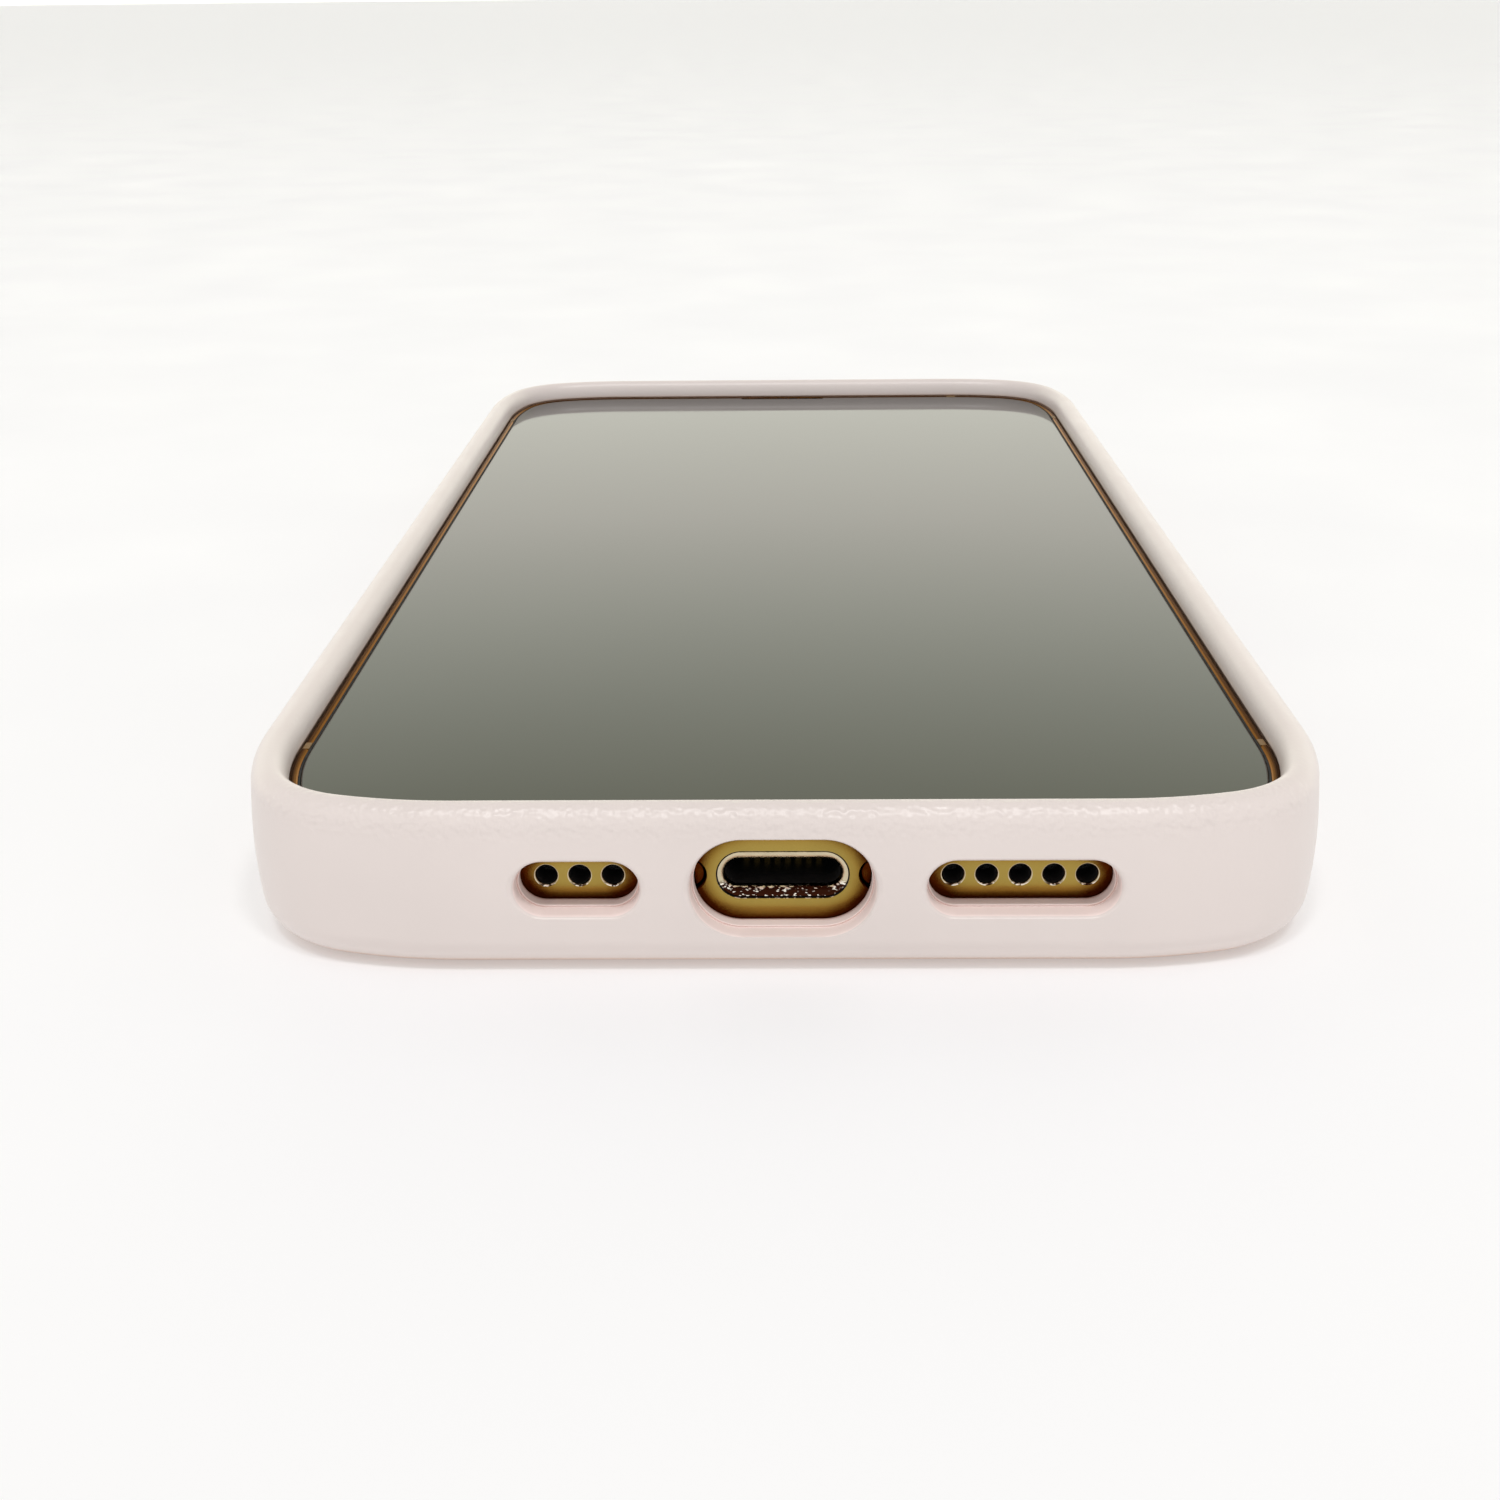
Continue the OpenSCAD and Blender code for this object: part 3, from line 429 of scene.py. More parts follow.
def moulding_material():
    """Soft-touch moulded case with a satin skin, its front roll finely pebbled; painted shade makes it
    darker and warmer in its crevices.
    """
    colour = srgb(227, 216, 211)
    made = Surface("case moulding", colour, 0.3, Specular_IOR_Level=0.45, Sheen_Weight=0.08,
                   Sheen_Roughness=0.4)
    mottled(made, colour, 14, 0.015, (0.29, 0.37))
    # Painted shade: tan and darker where the lip meets the band and in other crevices
    made.paint_crevice_shade(1.2, [(0.3, (0.74, 0.52, 0.38, 1)), (0.46, (0.95, 0.83, 0.73, 1)), (0.7, WHITE)])
    front_roll = made.combine("MULTIPLY", made.along("Y", case_low.y + 3.5, case_low.y + 6, 1, 0.1),
                              made.along("Z", case_high.z - 2.6, case_high.z - 1.2, 0.06, 1))
    made.bump(made.noise(0.4, 0), 0.11, fade=front_roll)
    made.bump(made.noise(6, 2), 0.02)
    return made.material


def cut_wall_material():
    """The moulding where it is cut through: smoother and pinker, paler as painted light on the shaded cut,
    with painted shade at the seam behind it.
    """
    # Paler than the moulding: painted light that lifts the cut faces, which the case itself shades
    colour = srgb(246, 229, 224)
    made = Surface("case cut wall", colour, 0.5, Specular_IOR_Level=0.4)
    mottled(made, colour, 6, 0.015, (0.45, 0.55))
    # Painted shade: dark brown where the cut meets the band
    made.paint_crevice_shade(0.7, [(0.5, (0.30, 0.12, 0.08, 1)), (0.62, (0.72, 0.55, 0.50, 1)), (0.75, WHITE)])
    made.bump(made.noise(0.5, 3), 0.012)
    return made.material


def lining_material():
    colour = srgb(214, 200, 194)
    made = Surface("microfibre lining", colour, 0.95, Sheen_Weight=0.6, Sheen_Roughness=0.5)
    mottled(made, colour, 5, 0.06, (0.88, 1.0))
    made.bump(made.noise(0.12, 4, made.stretched((1, 0.35, 1))), 0.05)
    return made.material


def gold_material():
    """Polished metal with a gold coat and faint swirls of polishing; painted shade browns its seams, and
    painted shade and reflection brown its rim.
    """
    colour = srgb(164, 140, 70)
    made = Surface("gold metal", colour, 0.12, 1.0, Specular_Tint=(0.9, 0.75, 0.62, 1))
    mottled(made, colour, 5, 0.05, (0.10, 0.18))
    # Painted shade: dark red-brown where the case's wall and lip close in on the metal
    made.paint_crevice_shade(2.0, [(0.64, (0.15, 0.035, 0.01, 1)), (0.69, (0.60, 0.34, 0.16, 1)),
                       (0.77, (0.90, 0.78, 0.58, 1)), (0.88, WHITE)])
    # Painted shade and reflection: the top of the rim turns brown towards the glass
    made.multiply(made.ramp(made.along("Z", Z_GLASS - 0.6, Z_GLASS - 0.15),
                            [(0.0, WHITE), (1.0, (0.44, 0.24, 0.11, 1))]))
    made.bump(made.noise(0.5, 5, made.stretched((1, 0.1, 1))), 0.0008)
    return made.material


def lip_metal_material():
    """The cut bevels of the port and holes: pale above; below, a painted dark reflection with painted bright
    glints.
    """
    pale, painted_dark_reflection, bright = srgb(206, 194, 164), (0.035, 0.009, 0.004, 1), (1.0, 0.94, 0.82, 1)
    made = Surface("cut metal", pale, 0.1, 1.0)
    # More painted glints along both edges of the port's lower lip than between them
    edge, foot, none = Z_MID - PORT_H / 2, Z_MID - PORT_H / 2 - 0.7, (0, 0, 0, 1)
    more = made.ramp(made.along("Z", foot, edge),
                     [(0.0, (0.1, 0.1, 0.1, 1)), (0.16, none), (0.66, none), (0.9, (0.12, 0.12, 0.12, 1))])
    glint_pattern = made.combine("ADD", made.noise(0.22, 2, made.stretched((0.7, 1, 1.6))), more)
    painted_glints = made.ramp(glint_pattern, [(0.62, painted_dark_reflection), (0.67, bright)])
    # Below the middle, the painted dark reflection and bright painted glints take over from the pale metal
    mix = made.node("Mix", data_type="RGBA")
    made.link(made.along("Z", Z_MID - 0.45, Z_MID - 0.75), mix.inputs["Factor"])
    clouded = made.ramp(made.noise(1.5, 4), [(0.35, shade(pale, 0.92)), (0.65, shade(pale, 1.08))])
    made.link(clouded, mix.inputs[MIX_A])
    made.link(painted_glints, mix.inputs[MIX_B])
    made.link(mix.outputs[MIX_OUT], made.shader.inputs["Base Color"])
    made.vary_roughness(made.noise(0.3, 3), 0.06, 0.2)
    made.bump(made.noise(0.22, 3), 0.02)
    return made.material


def inside_material():
    # Near-black painted shade for the band's bores and the port's groove, where the metal lies in shade
    return plastic_material("shadowed bore", (0.004, 0.003, 0.003, 1), (0.6, 0.8), 0.1, 0.004)


def plastic_material(name, colour, rough=(0.4, 0.5), grain=0.25, depth=0.006, amount=0.08):
    made = Surface(name, colour, rough[0])
    mottled(made, colour, 3, amount, rough)
    made.bump(made.noise(grain, 3), depth)
    return made.material


def brushed_material(name, colour, rough=(0.25, 0.4), along=(1, 0.04, 1)):
    """Metal with fine lines along one axis."""
    made = Surface(name, colour, rough[0], 1.0)
    lines = made.noise(0.12, 4, made.stretched(along))
    made.tint(lines, [(0.3, shade(colour, 0.95)), (0.7, shade(colour, 1.05))])
    made.vary_roughness(lines, *rough)
    made.bump(lines, 0.002)
    return made.material


def screen_material():
    """Black glass over a display that is off: a hard, even reflection with faint finger marks."""
    colour = (0.012, 0.014, 0.011, 1)
    made = Surface("screen glass", colour, 0.04, IOR=1.56)
    smears = made.noise(14, 5, made.stretched((1, 0.55, 1)))
    made.vary_roughness(smears, 0.03, 0.07)
    made.tint(made.noise(30, 2), [(0.3, colour), (0.7, shade(colour, 1.25))])
    return made.material


def gasket_material():
    return plastic_material("gasket rubber", (0.008, 0.008, 0.008, 1), (0.6, 0.8), 0.1, 0.004)


def back_glass_material():
    """Frosted glass with a gold layer behind it."""
    colour = srgb(214, 196, 160)
    made = Surface("back glass", colour, 0.35, 0.35, Coat_Weight=0.4, Coat_Roughness=0.25)
    mottled(made, colour, 20, 0.02, (0.30, 0.36))
    made.bump(made.noise(0.06, 2), 0.001)
    return made.material


def lens_cover_material():
    made = Surface("lens cover", (0.9, 0.92, 0.95, 1), 0.02, Transmission_Weight=1.0, IOR=1.76)
    made.vary_roughness(made.noise(2, 3), 0.015, 0.03)
    return made.material


def lens_element_material():
    """Coated lens glass: near black, with a violet to green bloom."""
    made = Surface("lens element", (0.01, 0.01, 0.02, 1), 0.03, IOR=1.7, Coat_Weight=1.0, Coat_IOR=1.8,
                   Coat_Tint=(0.65, 0.75, 1.0, 1))
    made.tint(made.noise(2.5, 1), [(0.35, (0.010, 0.004, 0.030, 1)), (0.65, (0.004, 0.018, 0.016, 1))])
    return made.material


def display_material():
    colour = (0.006, 0.006, 0.008, 1)
    made = Surface("display panel", colour, 0.15)
    made.tint(made.waves(0.2), [(0.4, colour), (0.6, shade(colour, 1.6))])
    made.vary_roughness(made.noise(4), 0.12, 0.2)
    return made.material


def flex_material():
    """Polyimide film with copper traces inside."""
    film, trace = srgb(176, 108, 44), srgb(206, 140, 74)
    made = Surface("flex film", film, 0.3)
    made.tint(made.waves(0.45), [(0.45, film), (0.55, trace)])
    made.vary_roughness(made.noise(0.8), 0.25, 0.4)
    made.bump(made.waves(0.45), 0.01)
    return made.material


def battery_material():
    colour = (0.022, 0.022, 0.024, 1)
    made = Surface("battery foil", colour, 0.5, 0.2)
    mottled(made, colour, 12, 0.1, (0.42, 0.58))
    made.bump(made.noise(9, 3), 0.08)
    made.bump(made.noise(0.3, 2), 0.006)
    return made.material


def board_material():
    """Solder mask over copper, with traces between cells and a pad in the middle of each."""
    mask, trace, pad = srgb(18, 62, 44), srgb(34, 92, 66), srgb(190, 168, 98)
    made = Surface("circuit board", mask, 0.3)
    blocks = made.cells(1.1)
    made.tint(blocks, [(0.0, trace), (0.06, trace), (0.09, mask), (0.42, mask), (0.46, pad)])
    made.vary_roughness(made.noise(0.5), 0.25, 0.4)
    made.bump(blocks, 0.02)
    return made.material


def copper_material():
    """A flat coil of copper wire, wound about the origin."""
    copper = srgb(196, 122, 76)
    made = Surface("copper coil", copper, 0.3, 1.0)
    turns = made.waves(0.7, wave_type="RINGS", rings_direction="Z")
    made.tint(turns, [(0.2, shade(copper, 0.5)), (0.6, copper)])
    made.vary_roughness(made.noise(1), 0.25, 0.4)
    made.bump(turns, 0.05)
    return made.material


def mesh_material():
    """Fine woven steel."""
    colour = (0.03, 0.03, 0.03, 1)
    made = Surface("steel mesh", colour, 0.45, 0.8)
    weave = made.cells(0.14)
    made.tint(weave, [(0.05, shade(colour, 2.2)), (0.2, shade(colour, 0.2))])
    made.bump(weave, 0.03)
    return made.material


def phosphor_material():
    colour = srgb(236, 206, 84)
    made = Surface("flash phosphor", colour, 0.6)
    mottled(made, colour, 0.6, 0.08, (0.5, 0.7))
    made.bump(made.cells(0.12, "SMOOTH_F1"), 0.01)
    return made.material


def contact_material():
    """Plated contacts, with painted shade darkening them where they sit deep in the port."""
    colour = srgb(226, 190, 104)
    made = Surface("contact gold", colour, 0.15, 1.0)
    mottled(made, colour, 0.8, 0.05, (0.12, 0.22))
    # Painted shade deep in the port
    made.paint_crevice_shade(1.5, [(0.35, (0.04, 0.03, 0.02, 1)), (0.85, WHITE)])
    made.bump(made.noise(0.12, 3), 0.001)
    return made.material


MATERIALS = {
    "case_moulding": moulding_material(),
    "lining": lining_material(),
    "gold_metal": gold_material(),
    "antenna_plastic": plastic_material("antenna plastic", srgb(128, 98, 56)),
    "chassis_alloy": brushed_material("chassis alloy", srgb(186, 188, 192)),
    "screen_glass": screen_material(),
    "gasket_rubber": gasket_material(),
    "display_black": display_material(),
    "flex_film": flex_material(),
    "back_glass_gold": back_glass_material(),
    "clear_glass": lens_cover_material(),
    "camera_black": plastic_material("camera black", (0.012, 0.012, 0.014, 1), (0.3, 0.4), 0.2, 0.003),
    "flash_phosphor": phosphor_material(),
    "mesh_steel": mesh_material(),
    "black_plastic": plastic_material("black plastic", (0.010, 0.010, 0.010, 1), (0.4, 0.55)),
    "cone_film": plastic_material("cone film", (0.08, 0.075, 0.07, 1), (0.35, 0.5), 0.4, 0.02),
    "battery_foil": battery_material(),
    "board_green": board_material(),
    "chip_black": plastic_material("chip resin", (0.018, 0.018, 0.02, 1), (0.4, 0.5), 0.08, 0.003),
    "shield_steel": brushed_material("shield steel", srgb(188, 190, 194), (0.28, 0.42), (0.05, 1, 1)),
    "copper": copper_material(),
    "magnet_steel": brushed_material("magnet nickel", srgb(168, 168, 172), (0.2, 0.35), (1, 1, 0.1)),
    "contact_gold": contact_material(),
    "card_plastic": plastic_material("card plastic", srgb(226, 226, 222), (0.3, 0.4), 0.15, 0.002, 0.02),
}


def dress_cad_nodes():
    """Every CAD node takes the material of its slot in the record."""
    for entry in frame["record"]["subparts"]:
        mesh = frame["nodes"][entry["node"]].data
        mesh.materials.clear()
        mesh.materials.append(MATERIALS[entry["material_slot"]])


# ---- case ----

# The cut wall's place among the case's materials
CUT_WALL = 1


def swollen(points):
    """Case points (inset, height), moved out by the wall's gentle swell."""
    return [(inset - BULGE * math.sin(math.pi * height / Z_LIP), height) for inset, height in points]


def case_profile():
    """From the middle of the back, up the outside, over the lip and down to the inner floor."""
    lip_edge = CASE_WALL + 0.2
    wall_in = CASE_WALL - 0.05
    shoulder = Z_LIP - ROLL_R
    inner_h = 1.75
    wall = [(DRAFT * (1 - i / 8), FOOT_R + (shoulder - FOOT_R) * i / 8) for i in range(1, 8)]
    return ([(6.0, 0.0)]
            + swollen(arc((DRAFT + FOOT_R, FOOT_R), FOOT_R, 270, 180, 16) + wall
                      + arc((ROLL_R, shoulder), ROLL_R, 180, 90, 14))
            + [(ROLL_R + (lip_edge - ROLL_R) * x, Z_LIP - inner_h * (1 - y))
               for x, y in arc((0, 0), 1, 81, 0, 9)]
            + arc((lip_edge - 0.1, Z_GLASS + 0.17), 0.1, 0, -90, 3)
            + [(wall_in, Z_GLASS + 0.06), (wall_in, Z_FLOOR), (6.0, Z_FLOOR)])


def mouth_cutter(length, height, matrix):
    """A stadium tunnel with a fine step halfway out and a rolled outer edge."""
    profile = [(0, -3.0), (0, 1.02), (-0.03, 1.06), (-0.13, 1.08), (-0.16, 1.12), (-0.18, CASE_FACE - 0.45),
               (-0.24, CASE_FACE - 0.22), (-0.38, CASE_FACE - 0.07), (-0.6, CASE_FACE - 0.01),
               (-0.62, CASE_FACE + 2)]
    return moved(loft(stadium_path(length, height), profile, marks=[CUT_WALL] * 6), matrix)


def button_frames():
    """Each case button: its node, its body, its side, its place and length along y, and its depth."""
    pairs = (("case_power_button", "case_power"), ("case_volume_up_button", "case_volume_up"),
             ("case_volume_down_button", "case_volume_down"))
    for node, body in pairs:
        low, high = box_mm(node)
        side = 1 if high.x > 0 else -1
        yield node, body, side, (low.y + high.y) / 2, high.y - low.y, high.x - low.x


def end_frame(x, rise=0.0):
    """A matrix for the charging end's face, whose local z points out of it."""
    return facing((0, -1, 0), (x, -BAND_HALF_L, Z_MID + rise))


def on_side(side, y, x):
    return facing((side, 0, 0), (side * x, y, Z_MID))


def looking_down(x, y):
    """Local z points out of the phone's back, whose level is zero height."""
    return facing((0, 0, -1), (x, y, Z_BACK))


def island_frame():
    """A matrix for the camera island, whose local x runs along it."""
    centre = (island_low + island_high) / 2
    return looking_down(centre.x, centre.y) @ Matrix.Rotation(math.pi / 2, 4, "Z")


def case_cutters():
    """The openings in the case, then the wider pockets behind its buttons."""
    holes = [mouth_cutter(length, height, end_frame(x, CUT_RISE))
             for x, length, height in MOUTHS]
    pockets = []
    pill = [(0, -3.0), (0, CASE_FACE - 0.2), (-0.03, CASE_FACE - 0.12), (-0.12, CASE_FACE - 0.03),
            (-0.2, CASE_FACE - 0.01), (-0.22, CASE_FACE + 2)]
    for _, _, side, y, length, _ in button_frames():
        place = on_side(side, y, BAND_HALF_W)
        hole = stadium_path(length - 2 * BUTTON_FLANGE + BUTTON_GAP, BUTTON_H + BUTTON_GAP)
        pocket = stadium_path(length + BUTTON_GAP, BUTTON_H + 2 * BUTTON_FLANGE + BUTTON_GAP)
        holes.append(moved(loft(hole, pill), place))
        pockets.append(moved(loft(pocket, [(0, -1.0), (0, 0.97)]), place))
    switch_low, switch_high = box_mm("ring_switch")
    holes.append(mouth_cutter(9.6, 5.0, on_side(-1, (switch_low.y + switch_high.y) / 2, BAND_HALF_W)))
    size, gap = island_high - island_low, 1.4
    profile = [(0, -3.0), (0, 2.0), (-0.05, 2.1), (-0.7, 2.6), (-0.8, 2.65), (-0.8, 4)]
    holes.append(moved(loft(stadium_path(size.y + gap, size.x + gap), profile), island_frame()))
    return [holes, pockets]


def make_case():
    path = phone_path(CASE_HALF_W, CASE_HALF_L, CASE_R)
    piece("case_moulding_shell", loft(path, case_profile()), "case_moulding", replaces=("case_shell",),
          cuts=case_cutters(), materials=(MATERIALS["case_moulding"], cut_wall_material()))


def make_case_buttons():
    """Pills with rounded faces, on the flange that keeps them in the wall."""
    edge = 0.55
    for node, body, side, y, length, depth in button_frames():
        profile = ([(-BUTTON_FLANGE, 0), (-BUTTON_FLANGE, 0.6), (0, 0.6), (0, depth - edge)]
                   + arc((edge, depth - edge), edge, 180, 90, 8)[1:]
                   + [(1.2, depth)])
        solid = loft(stadium_path(length - 2 * BUTTON_FLANGE, BUTTON_H), profile)
        low, high = box_mm(node)
        inner = low.x if side > 0 else -high.x
        moved(solid, on_side(side, y, inner))
        piece(node + "_cap", solid, "case_moulding", body, (node,))


# ---- band ----

# The cut metal's place among the band's materials, and the place of the near-black painted shade in its
# bores and the groove round the port
LIP, INSIDE = 1, 2


def band_profile():
    """Outer face, chamfers with softened edges, and the ledges that hold the two glasses."""
    soft = 0.06
    top, bottom = Z_GLASS, Z_BACK
    ledge_top, ledge_bottom = top - 0.85, bottom + 0.75
    return [(0, bottom + CHAMFER + soft), (soft * 0.3, bottom + CHAMFER - soft * 0.4),
            (CHAMFER - soft * 0.4, bottom + soft * 0.3), (CHAMFER + soft, bottom),
            (RIM - 0.1, bottom), (RIM, bottom + 0.1), (RIM, ledge_bottom), (BAND_WALL, ledge_bottom),
            (BAND_WALL, ledge_top), (RIM, ledge_top), (RIM, top - 0.12), (RIM - 0.02, top - 0.09),
            (RIM - 0.12, top - 0.01), (RIM - 0.15, top), (CHAMFER + soft, top),
            (CHAMFER - soft * 0.4, top - soft * 0.3), (soft * 0.3, top - CHAMFER + soft * 0.4),
            (0, top - CHAMFER - soft)]


def port_cutter():
    """The port's mouth, then its rounded metal lip, then the fine groove round the lip."""
    lip = [(0.85 * (1 - math.cos(a)), -0.75 + 0.66 * math.sin(a))
           for a in (math.radians(90 * i / 8) for i in range(9))]
    steps = ([(0, -4)] + lip
             + [(0.9, -0.12), (0.92, -0.26), (0.98, -0.26), (1.0, -0.12),
                (1.0, -0.03), (1.03, 0), (1.03, 1)])
    loops = [[(*point, depth) for point, _ in stadium_path(PORT_W + 1.2 * out, PORT_H + 1.56 * out)]
             for out, depth in steps]
    return moved(skin(loops, marks=[INSIDE] + [LIP] * 9 + [INSIDE] * 4 + [LIP]), end_frame(0))


def band_cutters():
    """The port, the round holes, the screws' recesses, and the slots of the side controls and the tray."""
    cuts = [port_cutter()]
    rim = [(0, -4), (0, -0.2), (-0.03, -0.12), (-0.08, -0.04), (-0.14, 0), (-0.14, 1)]
    for count, middle in ((MIC_HOLES, MIC_X), (SPEAKER_HOLES, SPEAKER_X)):
        for i in range(count):
            x = middle + (i - (count - 1) / 2) * HOLE_PITCH
            cuts.append(moved(loft(circle_path(HOLE_R), rim, marks=[INSIDE, LIP, LIP, LIP]), end_frame(x)))
    recess = [(0.45, -4), (0.45, -0.95), (0, -0.95), (0, -0.2), (-0.04, -0.14), (-0.2, 0), (-0.2, 1)]
    for side in (-1, 1):
        cuts.append(moved(loft(circle_path(1.0), recess), end_frame(side * SCREW_X)))
    for node in ("power_button", "volume_up_button", "volume_down_button"):
        low, high = box_mm(node)
        side = 1 if high.x > 0 else -1
        matrix = on_side(side, (low.y + high.y) / 2, BAND_HALF_W)
        cuts.append(moved(loft(stadium_path(high.y - low.y + 0.2, 2.8), [(0, -1.5), (0, 1)]), matrix))
    low, high = box_mm("ring_switch")
    pocket = rounded_path(3.0, 1.65, 0.8, 8)
    cuts.append(moved(loft(pocket, [(0, -1.2), (0, 1)]), on_side(-1, (low.y + high.y) / 2, BAND_HALF_W)))
    low, high = box_mm("sim_tray")
    cuts.append(moved(loft(stadium_path(14.1, 2.3), [(0, -0.95), (0, 1)]),
                      on_side(-1, (low.y + high.y) / 2, BAND_HALF_W)))
    return cuts


def insert_cutters():
    """Where the insulating inserts split the band."""
    half, reach, top = INSERT_W / 2, BAND_WALL + 1, 20
    cuts = []
    for side in (-1, 1):
        low, high = sorted((side * (BAND_HALF_W + 1), side * (BAND_HALF_W - reach)))
        for y in (-INSERT_Y, INSERT_Y):
            cuts.append(block((low, y - half, 0), (high, y + half, top)))
    for side in (-1, 1):
        low, high = sorted((side * (BAND_HALF_L + 1), side * (BAND_HALF_L - reach)))
        x = side * INSERT_X
        cuts.append(block((x - half, low, 0), (x + half, high, top)))
    return cuts


def make_band():
    solid = loft(phone_path(BAND_HALF_W, BAND_HALF_L, BAND_R), band_profile(), ring=True)
    piece("band_metal", solid, "gold_metal", replaces=("frame_band",),
          cuts=[band_cutters(), insert_cutters()],
          materials=(MATERIALS["gold_metal"], lip_metal_material(), inside_material()))


# ---- glass ----

def make_screen():
    """Flat glass with a small rounded edge and the earpiece's notch."""
    half_w, half_l = glass_high.x, glass_high.y
    radius = BAND_R - (BAND_HALF_W - half_w)
    edge = 0.22
    bottom, top = glass_low.z, glass_high.z
    profile = ([(4, bottom), (0.08, bottom), (0, bottom + 0.08)]
               + arc((edge, top - edge), edge, 180, 90, 6) + [(4, top)])
    low, high = box_mm("earpiece_mesh")
    notch = rounded_path((high.x - low.x) / 2 + 0.05, 0.5, 0.3, 6)
    cutter = moved(loft(notch, [(0, -2), (0, 1), (-0.08, 1.1), (-0.08, 3)]),
                   Matrix.Translation((0, half_l - 0.35, top - 1.08)))
    piece("screen_glass_plate", loft(phone_path(half_w, half_l, radius, 28), profile), "screen_glass",
          replaces=("front_glass",), cuts=[[cutter]])


# ---- cameras ----

LENS_X = (ring_low.x + ring_high.x) / 2
LENS_R = (ring_high.x - ring_low.x) / 2
WIDE_Y = ring_high.y - LENS_R
ULTRA_Y = ring_low.y + LENS_R
FLASH_LOW, FLASH_HIGH = box_mm("flash_lens")


def make_island():
    """The raised plate that carries the lenses, its edge rolled over."""
    size = island_high - island_low
    height = Z_BACK - island_low.z
    edge = 0.6
    profile = ([(1.1, -0.68), (1.1, 0), (0, 0), (0, height - edge)]
               + arc((edge, height - edge), edge, 180, 90, 8)[1:] + [(2, height)])
    solid = moved(loft(stadium_path(size.y, size.x, 24), profile), island_frame())
    bore = [(0, -2), (0, height - 0.1), (-0.1, height), (-0.1, height + 1)]
    cuts = [moved(loft(circle_path(5.0, 16), bore), looking_down(LENS_X, y)) for y in (WIDE_Y, ULTRA_Y)]
    flash = (FLASH_LOW + FLASH_HIGH) / 2
    cuts.append(moved(loft(circle_path(2.04, 16), bore), looking_down(flash.x, flash.y)))
    cuts.append(moved(loft(circle_path(0.35, 6), bore), looking_down(flash.x, flash.y - 3.2)))
    piece("camera_plateau", solid, "back_glass_gold", replaces=("camera_island",), cuts=[cuts])


def lens_ring(y):
    """Polished trim ring with a stepped inner cone."""
    top = Z_BACK - ring_low.z
    seat = Z_BACK - island_low.z
    outline = ([(4.98, seat - 1.0), (4.98, seat), (LENS_R, seat), (LENS_R, top - 0.12)]
               + arc((LENS_R - 0.12, top - 0.12), 0.12, 0, 90, 4)[1:]
               + arc((4.75, top - 0.08), 0.08, 90, 180, 3)
               + [(4.62, top - 0.5), (4.22, top - 0.52), (4.22, seat - 1.0)])
    path = circle_path(LENS_R, 24)
    ring = loft(path, [(LENS_R - r, h) for r, h in outline], ring=True)
    return moved(ring, looking_down(LENS_X, y))


def lens_cover(y):
    top = Z_BACK - ring_low.z - 0.08
    outline = [(0.4, top - 0.4), (4.5, top - 0.4), (4.57, top - 0.34),
               (4.57, top - 0.06), (4.5, top), (0.4, top)]
    return moved(lathe(outline, 96), looking_down(LENS_X, y))


def barrel_shell(front, depth):
    """A lens barrel with stepped baffles round its first element."""
    outline = [(3.88, front - depth), (3.88, front - 0.08), (3.8, front), (3.35, front), (3.3, front - 0.12),
               (3.0, front - 0.14), (2.95, front - 0.3), (2.62, front - 0.32), (2.58, front - 0.5),
               (2.25, front - 0.52), (2.2, front - 0.72), (0.4, front - 0.74)]
    return lathe(outline, 96)


def lens_dome(front):
    """The first element: a shallow dome inside the barrel's baffles."""
    radius, rise = 2.15, 0.42
    base = front - 0.68
    curve = [(radius * math.cos(a), base + rise * math.sin(a))
             for a in (math.radians(90 * i / 8) for i in range(8))]
    return lathe([(radius, front - 0.73)] + curve + [(0.02, base + rise)])


def make_cameras():
    rings = joined([lens_ring(WIDE_Y), lens_ring(ULTRA_Y)])
    piece("lens_trim_rings", rings, "gold_metal", replaces=("lens_rings",))
    covers = joined([lens_cover(WIDE_Y), lens_cover(ULTRA_Y)])
    piece("lens_windows", covers, "clear_glass", replaces=("lens_covers",))
    element = (lens_element_material(),)
    low, high = box_mm("wide_lens_barrel")
    front, depth = Z_BACK - low.z, high.z - low.z
    place = looking_down(LENS_X, WIDE_Y)
    piece("wide_barrel_shell", moved(barrel_shell(front, depth), place), "camera_black", "focus_barrel",
          ("wide_lens_barrel",))
    piece("wide_front_element", moved(lens_dome(front), place), "clear_glass", "focus_barrel",
          materials=element)
    low, high = box_mm("ultrawide_camera")
    front = Z_BACK - low.z
    place = looking_down(LENS_X, ULTRA_Y)
    half = (high.x - low.x) / 2
    housing = block((LENS_X - half, ULTRA_Y - half, 3.45), (LENS_X + half, ULTRA_Y + half, high.z))
    shell = moved(barrel_shell(front, front + 0.85), place)
    piece("ultrawide_shell", joined([shell, housing]), "camera_black", replaces=("ultrawide_camera",))
    piece("ultrawide_front_element", moved(lens_dome(front), place), "clear_glass", materials=element)


def make_flash_lens():
    """A clear cap with the rings of a Fresnel lens on its face."""
    centre = (FLASH_LOW + FLASH_HIGH) / 2
    height = Z_BACK - FLASH_LOW.z
    ridges = []
    for i in range(7):
        outer = 1.9 - i * 0.25
        ridges += [(outer, height - 0.12), (outer - 0.2, height - 0.04)]
    outline = [(0.2, height - 0.9), (1.5, height - 0.9), (1.5, height - 0.6), (1.99, height - 0.6),
               (1.99, height - 0.05)] + ridges + [(0.1, height - 0.04)]
    solid = moved(lathe(outline), looking_down(centre.x, centre.y))
    piece("flash_fresnel", solid, "clear_glass", replaces=("flash_lens",))


# ---- stage ----

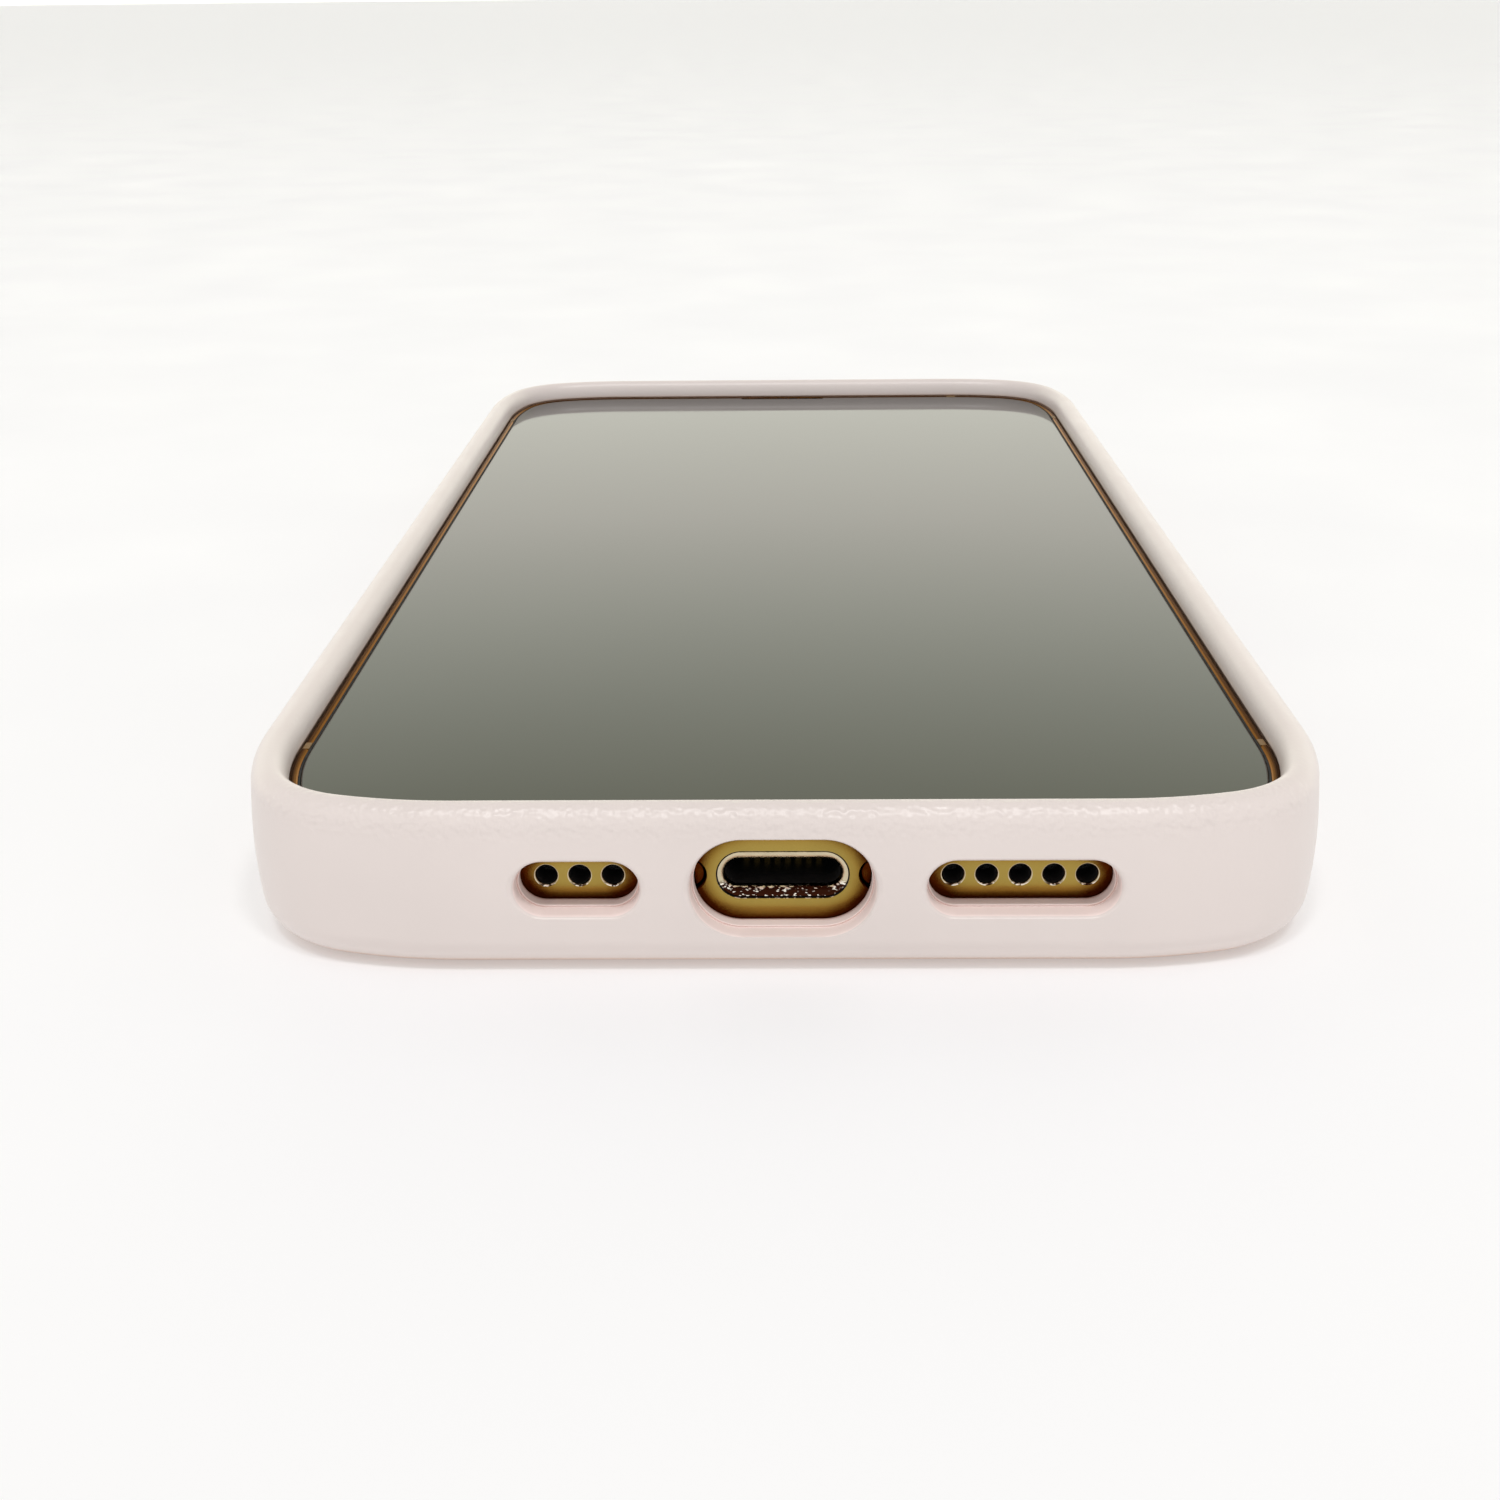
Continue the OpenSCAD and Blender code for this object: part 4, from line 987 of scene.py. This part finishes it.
# The photo's viewpoint: millimetres from the band's charging end, degrees, and the lens on a 36 mm frame
CAMERA_PLACE = (0.164, -118.23, 61.594)
CAMERA_PITCH, CAMERA_YAW, CAMERA_ROLL = 21.368, 1.106, -0.61
CAMERA_LENS = 46.43
# Metres: where the lamps hang, each at its own x, and what they point at
LAMP_Y, LAMP_Z = -0.576, 1.364
LAMP_TARGET = Vector((0, -0.07, 0))
FLOOR_HALF, FLOOR_DROP = 30, 0.00004


def make_camera():
    data = bpy.data.cameras.new("view")
    data.lens = CAMERA_LENS
    data.sensor_width = 36
    data.clip_start = 0.005
    data.clip_end = 200
    camera = bpy.data.objects.new("view", data)
    bpy.context.scene.collection.objects.link(camera)
    place = Vector(CAMERA_PLACE) + Vector((0, band_low.y, 0))
    camera.matrix_world = (Matrix.Translation(place * MM)
                           @ Matrix.Rotation(math.radians(CAMERA_YAW), 4, "Z")
                           @ Matrix.Rotation(math.radians(90 - CAMERA_PITCH), 4, "X")
                           @ Matrix.Rotation(math.radians(CAMERA_ROLL), 4, "Z"))
    bpy.context.scene.camera = camera


def make_floor():
    """A pale, faintly clouded floor that glows a little, as a light table does."""
    mesh = bpy.data.meshes.new("floor")
    corners = [(sx * FLOOR_HALF, sy * FLOOR_HALF, 0) for sx, sy in ((-1, -1), (1, -1), (1, 1), (-1, 1))]
    mesh.from_pydata(corners, [], [(0, 1, 2, 3)])
    floor = bpy.data.objects.new("floor", mesh)
    bpy.context.scene.collection.objects.link(floor)
    floor.location.z = -FLOOR_DROP
    colour = (0.62, 0.615, 0.62, 1)
    surface = Surface("pale floor", colour, 0.5, Specular_IOR_Level=0.2, Emission_Color=(1, 0.995, 1, 1),
                      Emission_Strength=0.33)
    surface.tint(surface.noise(90, 4), [(0.3, shade(colour, 0.985)), (0.7, shade(colour, 1.01))])
    surface.vary_roughness(surface.noise(30), 0.45, 0.6)
    mesh.materials.append(surface.material)


# Half the light by elevation in degrees, from behind the phone and from everywhere else
BACKDROP = ((11, (0.74, 0.735, 0.65)), (14.5, (0.725, 0.705, 0.63)), (17.5, (0.615, 0.62, 0.535)),
            (20, (0.525, 0.535, 0.45)), (23, (0.43, 0.435, 0.345)), (30, (0.41, 0.41, 0.36)),
            (45, (0.42, 0.42, 0.42)), (62, (0.16, 0.155, 0.15)))
ROOM = ((0, (0.42, 0.42, 0.42)), (45, (0.42, 0.42, 0.42)), (62, (0.16, 0.155, 0.15)))


def make_world():
    """A bright room with a paler backdrop that darkens as it rises, and a dim ceiling."""
    world = bpy.data.worlds.new("studio")
    bpy.context.scene.world = world
    world.use_nodes = True
    tree = world.node_tree
    background = tree.nodes["Background"]
    background.inputs["Strength"].default_value = 2.0
    coords = tree.nodes.new("ShaderNodeTexCoord")
    axes = tree.nodes.new("ShaderNodeSeparateXYZ")
    tree.links.new(coords.outputs["Generated"], axes.inputs["Vector"])
    mix = tree.nodes.new("ShaderNodeMix")
    mix.data_type = "RGBA"
    for stops, target in ((ROOM, mix.inputs[MIX_A]), (BACKDROP, mix.inputs[MIX_B])):
        ramp = tree.nodes.new("ShaderNodeValToRGB")
        elements = ramp.color_ramp.elements
        while len(elements) < len(stops):
            elements.new(0.5)
        for element, (elevation, colour) in zip(elements, stops):
            element.position = math.sin(math.radians(elevation))
            element.color = (*colour, 1)
        tree.links.new(axes.outputs["Z"], ramp.inputs["Fac"])
        tree.links.new(ramp.outputs["Color"], target)
    behind = tree.nodes.new("ShaderNodeMapRange")
    behind.inputs["From Min"].default_value = 0.1
    behind.inputs["From Max"].default_value = 0.5
    tree.links.new(axes.outputs["Y"], behind.inputs["Value"])
    tree.links.new(behind.outputs["Result"], mix.inputs["Factor"])
    tree.links.new(mix.outputs[MIX_OUT], background.inputs["Color"])


def make_lamp(name, x, size, power):
    """A small lamp overhead, out in front; its glints run along the case's rolled lip."""
    data = bpy.data.lights.new(name, "AREA")
    data.shape = "DISK"
    data.size = size
    data.energy = power
    lamp = bpy.data.objects.new(name, data)
    bpy.context.scene.collection.objects.link(lamp)
    lamp.location = (x, LAMP_Y, LAMP_Z)
    lamp.rotation_euler = (lamp.location - LAMP_TARGET).to_track_quat("Z", "Y").to_euler()


def make_stage():
    make_camera()
    make_floor()
    make_world()
    make_lamp("left lamp", -0.191, 0.22, 3.8)
    make_lamp("right lamp", 0.334, 0.22, 3.8)
    make_lamp("middle lamp", 0.01, 0.11, 0.5)
    bpy.context.scene.view_settings.view_transform = "Standard"


make_stage()
dress_cad_nodes()
make_case()
make_case_buttons()
make_band()
make_screen()
make_island()
make_cameras()
make_flash_lens()
